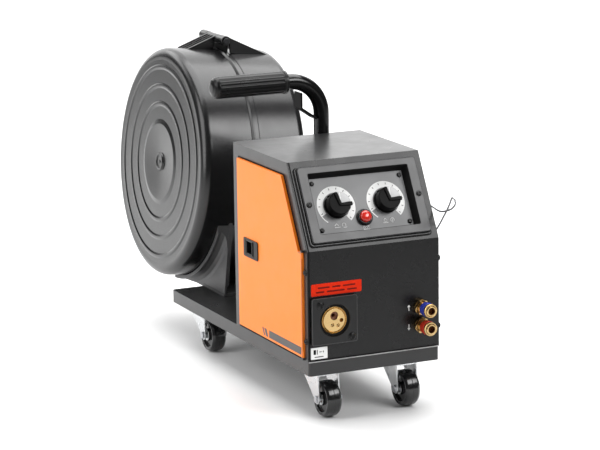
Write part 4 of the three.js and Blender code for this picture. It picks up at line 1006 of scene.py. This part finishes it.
def add_drum():
    ridges = (87, 114, 142)
    webs = [cut(hinge_web((-52, 169.6), -1, y), drum_space(1))
            for y in ((-4, -0.5), (26, 29.5), (7.2, 8.8), (16.4, 18))]
    cap = [(3.4, -9), (6.6, -9), (7.2, -8.4), (7.2, 31.4), (6.6, 32), (3.4, 32)]
    cap = turned("y", cap, HINGE, 64, 0.3, ring=True)
    # Painted shade: the spine between the hinge ribs is matte black, standing in for the shade there.
    spine = cut(prism("xz", [(-6, 187.2), (-51, 168.4), (-51, 166.4), (-8, 184)], -0.6, 26.1, 0),
                rod("y", 6.6, (-3, 30), HINGE, 0), drum_space(1))
    piece("hinge_spine", spine, "drum_cover", MATTE_BLACK_AND_SHADE, DRUM)
    cover = join(shell_half(1, -DRUM_HALF, SEAM - 2.3, ridges), *webs, cap)
    piece("drum_cover_shell", cover, "drum_cover", SHELL_PLASTIC, DRUM, ["spool_cover"], shading=30)

    bead = [(-DRUM_WALL, -2), (-0.2, -2), (2.2, 0.4), (2.3, 2), (0.4, 3), (-0.9, 3.4), (-0.9, 12),
            (-DRUM_WALL, 12)]
    bead = [(DRUM_RADIUS + out, SEAM + along) for out, along in bead]
    bead = turned("x", bead, (0, 0), 220, 0.4, ring=True)
    webs = [cut(hinge_web((76, 164.5), 1, y), drum_space(-1)) for y in ((-32, -28), (51, 55))]
    knuckles = [turned("y", [(3.4, a), (7, a), (7.6, a + 0.6), (7.6, b - 0.6), (7, b), (3.4, b)], HINGE, 64,
                       0.2, ring=True) for a, b in ((-32, -9.4), (32.4, 55))]
    case = cut(
        join(shell_half(-1, DRUM_HALF, SEAM + 10, ridges), bead, *knuckles, *webs),
        rod("y", 9, (-150, -80), (12, -130), 0),
        rod("x", 20.4, (DRUM_HALF - 10, DRUM_HALF + 5), (0, 0), 0),
    )
    piece("drum_case_shell", case, ROOT, SHELL_PLASTIC, DRUM, ["spool_case"], shading=30)

    pin = turned("y", [(0, -35.6), (4.2, -35.6), (5, -34.9), (5, -32.6), (3, -32.4), (3, 56.5), (0, 56.5)],
                 HINGE, 48, 0.3)
    # Painted shade: a black plate fills the gap under the hinge barrel, where light would show through.
    shade_plate = [(2, DRUM_RADIUS - 2.6), (2, HINGE_Z - 5.5), (5, HINGE_Z - 5.5), (5, DRUM_RADIUS - 2.6)]
    piece("hinge_gap_shade", prism("xz", shade_plate, -28.5, 51.5, 0.3), ROOT, MATTE_BLACK_AND_SHADE, DRUM)
    piece("hinge_pin", pin, ROOT, DARK_STEEL, DRUM, ["cover_hinge_pin"])


def add_foot():
    """Pedestal: two side walls, a front opening with rounded corners and a cradle round the drum."""
    wall_x, flare_x, front, wall, shelf = 33, 50, -157, 4, -59
    touch = DRUM_RADIUS + 1

    def flare(s):
        line = [(17, wall_x - wall), (17, wall_x), (11, wall_x + 1.2), (6.5, wall_x + 5),
                (4.2, wall_x + 11), (4.2, flare_x - 4), (5.6, flare_x - 2.2), (5.2, flare_x)]
        return [(touch + out, s * x) for out, x in line]

    cradle = [(touch, -flare_x), *reversed(flare(-1)), (touch + 4.2, -wall_x + wall + 6),
              (touch + 4.2, wall_x - wall - 6), *flare(1), (touch, flare_x)]
    soft = [0.4] + [1.2] * (len(cradle) - 2) + [0.4]
    ring = turned("x", cradle, (0, 0), 220, soft, ring=True)
    walls = [block(x, (front, 20), (-200, 20), 1.2)
             for x in ((-wall_x, -wall_x + wall), (wall_x - wall, wall_x))]
    ledge = block((-wall_x, wall_x), (front, front + 40), (shelf - 9, shelf - 5), 1)
    brace = block((-wall_x, wall_x), (front + 70, front + 74), (-200, -120), 0.5)
    tilt = Matrix.Rotation(-DRUM_TILT, 4, "Y") @ Matrix.Translation(-DRUM_CENTRE)
    sole = block((-60, 40), (DRUM_CENTRE.y + front + 0.5, 496), (TRAY_TOP - 5, TRAY_TOP + 4), 0)
    sole = moved(sole, tilt)
    sole = inside(sole, block((-wall_x - 0.5, wall_x + 0.5), (front, -8), (-230, shelf), 0))
    room = [
        rod("x", touch, (-300, 300), (0, 0), 0, 220),
        rod("x", DRUM_RADIUS + 2.8, (SEAM - 2.5, SEAM + 2.5), (0, 0), 0, 220),
    ]
    shape = cut(join(ring, *walls, ledge, brace), *room)
    shape = inside(shape, block((-flare_x - 1, flare_x + 1), (front, -8), (-230, shelf), 0))
    foot = cut(join(shape, sole), rod("y", 8, (-150, -80), (12, -130), 0),
               moved(block((-200, 200), (0, 900), (-100, TRAY_TOP), 0), tilt))
    piece("drum_pedestal", foot, ROOT, PEDESTAL_PLASTIC, DRUM, ["spool_case_foot"], shading=30)
    lips = [block(sorted((s * wall_x, s * (wall_x - 6.5))), (front - 0.4, front + 2.6),
                  (-160, shelf - 2), 1.1) for s in (-1, 1)]
    piece("pedestal_lips", gathered(*lips), ROOT, PEDESTAL_PLASTIC, DRUM)


# ---------- spool on its hub ----------
def add_spool():
    half, drum_half = 50, DRUM_HALF

    def spread(solid, share):
        return moved(solid, Matrix.Rotation(2 * math.pi * share, 4, "X"))

    hub = [
        (0, -half - 17), (8.2, -half - 17), (9, -half - 16.2), (9, -half - 1.5), (25.5, -half - 1.5),
        (25.5, half + 3), (36, half + 5), (36, drum_half - 6.4), (20, drum_half - 6.4), (20, drum_half + 3),
        (0, drum_half + 3),
    ]

    def thread(radius, along, angle):
        return radius - (0.4 * (0.5 + 0.5 * math.sin(angle + along * math.pi)) if 8.5 < radius < 9.2 else 0)

    hub = turned("x", hub, (0, 0), 96, 0.5, radius_at=thread)
    piece("hub_body", hub, ROOT, GREY_PLASTIC, DRUM, ["spool_hub"])
    ribs = [spread(block((drum_half + 2.8, drum_half + 3.8), (-1.3, 1.3), (6, 16), 0.4), i / 6)
            for i in range(6)]
    piece("hub_cap_ribs", gathered(*ribs), ROOT, BLACK_PLASTIC, DRUM)

    def flange(s):
        line = [(60, 4), (144, 4), (149, 4.4), (149, 0.4), (140, 0), (136, 1.6), (74, 1.6), (70, 0)]
        return [(radius, s * (half - depth)) for radius, depth in line]

    line = [(26, -half), *reversed(flange(-1)), *flange(1), (26, half)]
    windows = [spread(rod("x", 16, (-half - 2, half + 2), (0, 106), 0, 40), i / 6) for i in range(6)]
    ribs = [spread(block(sorted((s * half, s * (half - 1.4))), (-1.5, 1.5), (34, 138), 0), (i + 0.5) / 6)
            for i in range(6) for s in (-1, 1)]
    spool = cut(join(turned("x", line, (0, 0), 180, 0.6, ring=True), *ribs), *windows)
    piece("spool_body", spool, "spool", BLACK_PLASTIC, DRUM, ["wire_spool"])
    end = half - 4.4
    winding = [(60.3, -end), (97, -end), (98, -end + 2.4), (98, end - 2.4), (97, end), (60.3, end)]
    winding = turned("x", winding, (0, 0), 180, 0.8, ring=True)
    piece("wound_wire", winding, "spool", COPPER, DRUM, ["wire_winding"])

    start, end = -half - 14, -half - 2.2
    nut = join(
        turned("x", [(9.4, start), (20, start), (22, start + 2), (28, start + 2), (31, start + 5),
                     (31, end), (9.4, end)], (0, 0), 120, 0.8, ring=True),
        *[spread(block((start + 1, end), (26, 36), (-5, 5), 1.2), i / 3) for i in range(3)],
    )
    piece("hub_nut", nut, "retainer", BLACK_PLASTIC, DRUM, ["spool_nut"])


# ---------- wire drive behind the door ----------
FEED_Z = WIRE[1] - 0.7 - 18         # axles of the two driven rolls, 36 mm across
PRESS_Z = WIRE[1] + 0.7 + 14        # axles of the two pressure rolls, 28 mm across
PINION_TEETH, ROLL_TEETH = 15, 21
GEAR_MODULE = 5 / 3
# The pinion's (y, z): its axle is 30 from those of both rolls, which stand 25 to either side.
DRIVE = (130, FEED_Z - math.sqrt(30 ** 2 - 25 ** 2))
GEAR_X = (-53, -47.5)
ROLL_X = (WIRE[0] - 6, WIRE[0] + 6)


def gear(teeth, phase, centre):
    pitch = GEAR_MODULE * teeth / 2
    tip, root = pitch + 0.9 * GEAR_MODULE, pitch - 1.25 * GEAR_MODULE
    outline = []
    for tooth in range(teeth):
        for radius, share in ((root, -0.3), (pitch, -0.225), (tip, -0.13),
                              (tip, 0.13), (pitch, 0.225), (root, 0.3)):
            a = phase + (tooth + share) * 2 * math.pi / teeth
            outline.append(Vector((centre[0] + radius * math.cos(a), centre[1] + radius * math.sin(a))))
    return prism("yz", outline, *GEAR_X, 0.15)


def add_drive():
    softened("drive_casting", "drive_plate", ROOT, ALUMINIUM, 0.7, 3)
    to_front = math.atan2(FEED_Z - DRIVE[1], 105 - DRIVE[0])
    low = GEAR_X[0] - 3
    hub = turned("x", [(0, low), (4.4, low), (5, low + 0.6), (5, -19), (0, -19)], DRIVE, 48)
    pinion = join(gear(PINION_TEETH, to_front, DRIVE), hub)
    piece("drive_pinion", pinion, "drive", STEEL, replaces=["drive_gear"])

    for end, y in (("front", 105), ("rear", 155)):
        line = math.atan2(FEED_Z - DRIVE[1], y - DRIVE[0])
        # A gap of the roll's gear faces the pinion's tooth that is nearest to the line of centres.
        step = 2 * math.pi / PINION_TEETH
        nearest = round((line - to_front) / step) * step + to_front
        phase = line + math.pi - (nearest - line) * PINION_TEETH / ROLL_TEETH + math.pi / ROLL_TEETH
        centre = (y, FEED_Z)
        profile = shifted([
            (0, -7.6), (5.4, -7.6), (6, -6.6), (6, -5.4), (12.5, -5.4), (13, -6), (17.2, -6), (18, -5.2),
            (18, -0.8), (17.2, 0), (18, 0.8), (18, 5.2), (17.2, 6), (0, 6),
        ], WIRE[0])
        roll = join(
            turned("x", profile, centre, 128, 0.15),
            gear(ROLL_TEETH, phase, centre),
            rod("x", 10, (ROLL_X[1] - 1, GEAR_X[0] + 1), centre),
            rod("x", 5, (GEAR_X[1] - 1, -32), centre),
        )
        piece(f"grooved_roll_{end}", roll, f"feed_{end}", STEEL, replaces=[f"feed_roll_{end}"])
        idler = join(
            turned("x", shifted([(0, -6.8), (3.6, -6.8), (4, -6), (13.2, -6), (14, -5.2), (14, 5.2),
                                 (13.2, 6), (0, 6)], WIRE[0]), (y, PRESS_Z), 128, 0.2),
            rod("x", 3, (ROLL_X[1] - 1, -46.5), (y, PRESS_Z)),
        )
        piece(f"idler_{end}", idler, f"press_{end}", STEEL, replaces=[f"pressure_roll_{end}"])

    softened("pressure_bar", "pressure_arm", "arm", ALUMINIUM, 0.5, 3)
    lever = (-81, 64)
    foot = 181.2
    top = foot + 24

    def ribs(radius, along, angle):
        if radius <= 7.6 or along >= top - 3:
            return radius
        return radius - 0.5 * (0.5 + 0.5 * math.cos(16 * angle))

    tension = join(
        rod("x", 4, (-85, -33), (64, 116), 0.4),
        rod("x", 7, (-85, -77), (64, 116), 0.8),
        rod("z", 3, (116, foot + 2), lever, 0.2),
        turned("z", [(0, foot), (7.2, foot), (8.2, foot + 1.5), (8.2, foot + 9), (8.2, foot + 16),
                     (8.2, top - 4), (7, top), (0, top)], lever, 128, 0.6, radius_at=ribs),
    )
    piece("tension_knob", tension, "lever", BLACK_PLASTIC, replaces=["tension_lever"])

    can = [(0, 1), (24.5, 1), (24.5, 69), (22.5, 71.5), (21, 74), (8, 74), (8, 80), (0, 80)]
    motor = cut(
        join(block((-25.7, 2), (102, 158), (84.7, 138), 1.2), turned("x", can, DRIVE, 128, 0.8)),
        rod("x", 5.4, (-31, -18), DRIVE, 0),
    )
    piece("motor_with_gearbox", motor, ROOT, DARK_PAINT, replaces=["gear_motor"])

    guide = shifted([(1.6, -62), (2.6, -62), (4.5, -54), (4.5, -9), (10.5, -9), (10.5, -2.6), (7, -2.6),
                     (7, 0.3), (13, 0.3), (13, 4), (8, 5), (8, 10), (1.6, 10)], REAR)
    guide = turned("y", guide, WIRE, 96, 0.3, ring=True)
    piece("inlet_guide", guide, ROOT, BRASS, replaces=["wire_inlet_guide"])

    route = smooth_path([
        (WIRE[0], REAR + 10.5, WIRE[1]), (WIRE[0], REAR + 32, WIRE[1]), (-50, 320, 142), (-20, 375, 131),
        (-2, 415, 126), (0.6, 440, 125.6),
    ], 44)

    def corrugated(share):
        return circle(5.75 + 0.25 * math.cos(2 * math.pi * 72 * share), count=32)

    piece("liner_hose", swept(route, corrugated), ROOT, RUBBER, replaces=["wire_conduit"], shading=60)


def add_hook():
    x = SIDE + 3
    route = smooth_path([
        (SIDE + 0.9, 30, 274), (x - 0.4, 27, 273), (x, 7, 270.4), (x, -6, 271.8), (x, -20.4, 275.9),
        (x, -30.3, 279.8), (x, -38.3, 285.2), (x, -41.1, 289.4), (x, -38, 294), (x, -32.5, 295.3),
        (x + 1, -27, 291), (x + 2.6, -15.2, 277.9), (x + 2.6, 9.6, 250.6), (x + 1, 24, 235),
        (SIDE + 0.9, 29, 229.5),
    ], 7)
    hook = swept(route, circle(1.25, count=16))
    piece("wire_hook", hook, ROOT, HOOK_STEEL, replaces=["torch_hook"], shading=60)
    clips = [pan_screw((SIDE, y, z), (1, 0, 0), 2.6, 1.8) for y, z in ((34, 274), (33, 229.5))]
    piece("hook_screws", gathered(*clips), ROOT, DARK_STEEL)


# ---------- stage ----------
# Found from the photo's vanishing points: angles in degrees, place in drawing millimetres.
CAMERA = {"azimuth": -24.75, "elevation": 12.10, "roll": -0.78, "place": (-1564.9, -3159.9, 1019.3),
          "lens": 162.6}
SENSOR = 36
WORLD_STRENGTH = 0.1
AIM = (0, 0, 0.2)
LIGHTS = [
    # name, place and target in metres, width, watts, height, spread in degrees
    ("left softbox", (-2.8, -0.2, 1.5), AIM, 2.0, 64, 2.6, 180),
    ("overhead softbox", (0.3, 0.5, 2.4), (0.3, 0.501, 0), 2.8, 95, 2.1, 180),
    ("background softbox", (0.8, 3.3, 2.4), (0.8, 3.301, 0), 6.5, 135, 3.6, 180),
    ("back softbox", (1.6, 5.0, 1.1), AIM, 7.0, 95, 2.4, 180),
    ("back left softbox", (-0.9, 1.9, 1.3), (-0.9, 1.901, 0), 1.6, 15, 1.4, 180),
    ("front right softbox", (1.23, -2.1, 2.0), (0, 0, 0.33), 1.8, 11.5, 1.2, 80),
]


def add_camera():
    azimuth, elevation, roll = (math.radians(CAMERA[k]) for k in ("azimuth", "elevation", "roll"))
    away = Vector((math.sin(azimuth), -math.cos(azimuth), 0))
    back = away * math.cos(elevation) + Vector((0, 0, math.sin(elevation)))
    level = Vector((math.cos(azimuth), math.sin(azimuth), 0))
    upright = back.cross(level)
    right = level * math.cos(roll) + upright * math.sin(roll)
    up = back.cross(right)
    camera = bpy.data.objects.new("camera", bpy.data.cameras.new("camera"))
    camera.data.lens = CAMERA["lens"]
    camera.data.sensor_width = SENSOR
    camera.data.clip_start = 0.05
    camera.data.clip_end = 200
    turn = Matrix((right, up, back)).transposed().to_4x4()
    camera.matrix_world = Matrix.Translation(DRAWING @ Vector(CAMERA["place"])) @ turn
    bpy.context.scene.collection.objects.link(camera)
    bpy.context.scene.camera = camera


def add_light(name, place, target, width, power, height, spread):
    data = bpy.data.lights.new(name, "AREA")
    data.shape = "RECTANGLE"
    data.size = width
    data.size_y = height
    data.energy = power
    data.spread = math.radians(spread)
    lamp = bpy.data.objects.new(name, data)
    away = Vector(place) - Vector(target)
    lamp.matrix_world = Matrix.Translation(place) @ away.to_track_quat("Z", "Y").to_matrix().to_4x4()
    lamp.visible_camera = False
    bpy.context.scene.collection.objects.link(lamp)


def add_stage():
    floor = bmesh.new()
    bmesh.ops.create_circle(floor, cap_ends=True, segments=96, radius=60)
    thing = as_object("floor", floor)
    thing.location.z = -0.0005
    paint = finish("pale floor", (0.82, 0.82, 0.82), 0.8, mottle=0.01, grain=(200, 0.01), smudge=0.02,
                   specular=0.2)
    thing.data.materials.append(paint)

    world = bpy.data.worlds.new("studio")
    world.use_nodes = True
    background = world.node_tree.nodes["Background"]
    background.inputs["Color"].default_value = (1, 1, 1, 1)
    background.inputs["Strength"].default_value = WORLD_STRENGTH
    bpy.context.scene.world = world
    for light in LIGHTS:
        add_light(*light)
    bpy.context.scene.view_settings.view_transform = "Standard"


add_camera()
add_tray()
for end, axle in (("front", 26), ("rear", 418)):
    for side, x in (("left", -59), ("right", 59)):
        add_caster(f"{end}_{side}", x, axle)
add_housing()
add_controls()
add_torch_socket()
add_coupler("supply", 143, BLUE_BAND)
add_coupler("return", 118, RED_BAND)
add_front_labels()
add_supply_socket()
add_door()
add_handle()
add_drum()
add_foot()
add_spool()
add_drive()
add_hook()
add_screws()
add_stage()
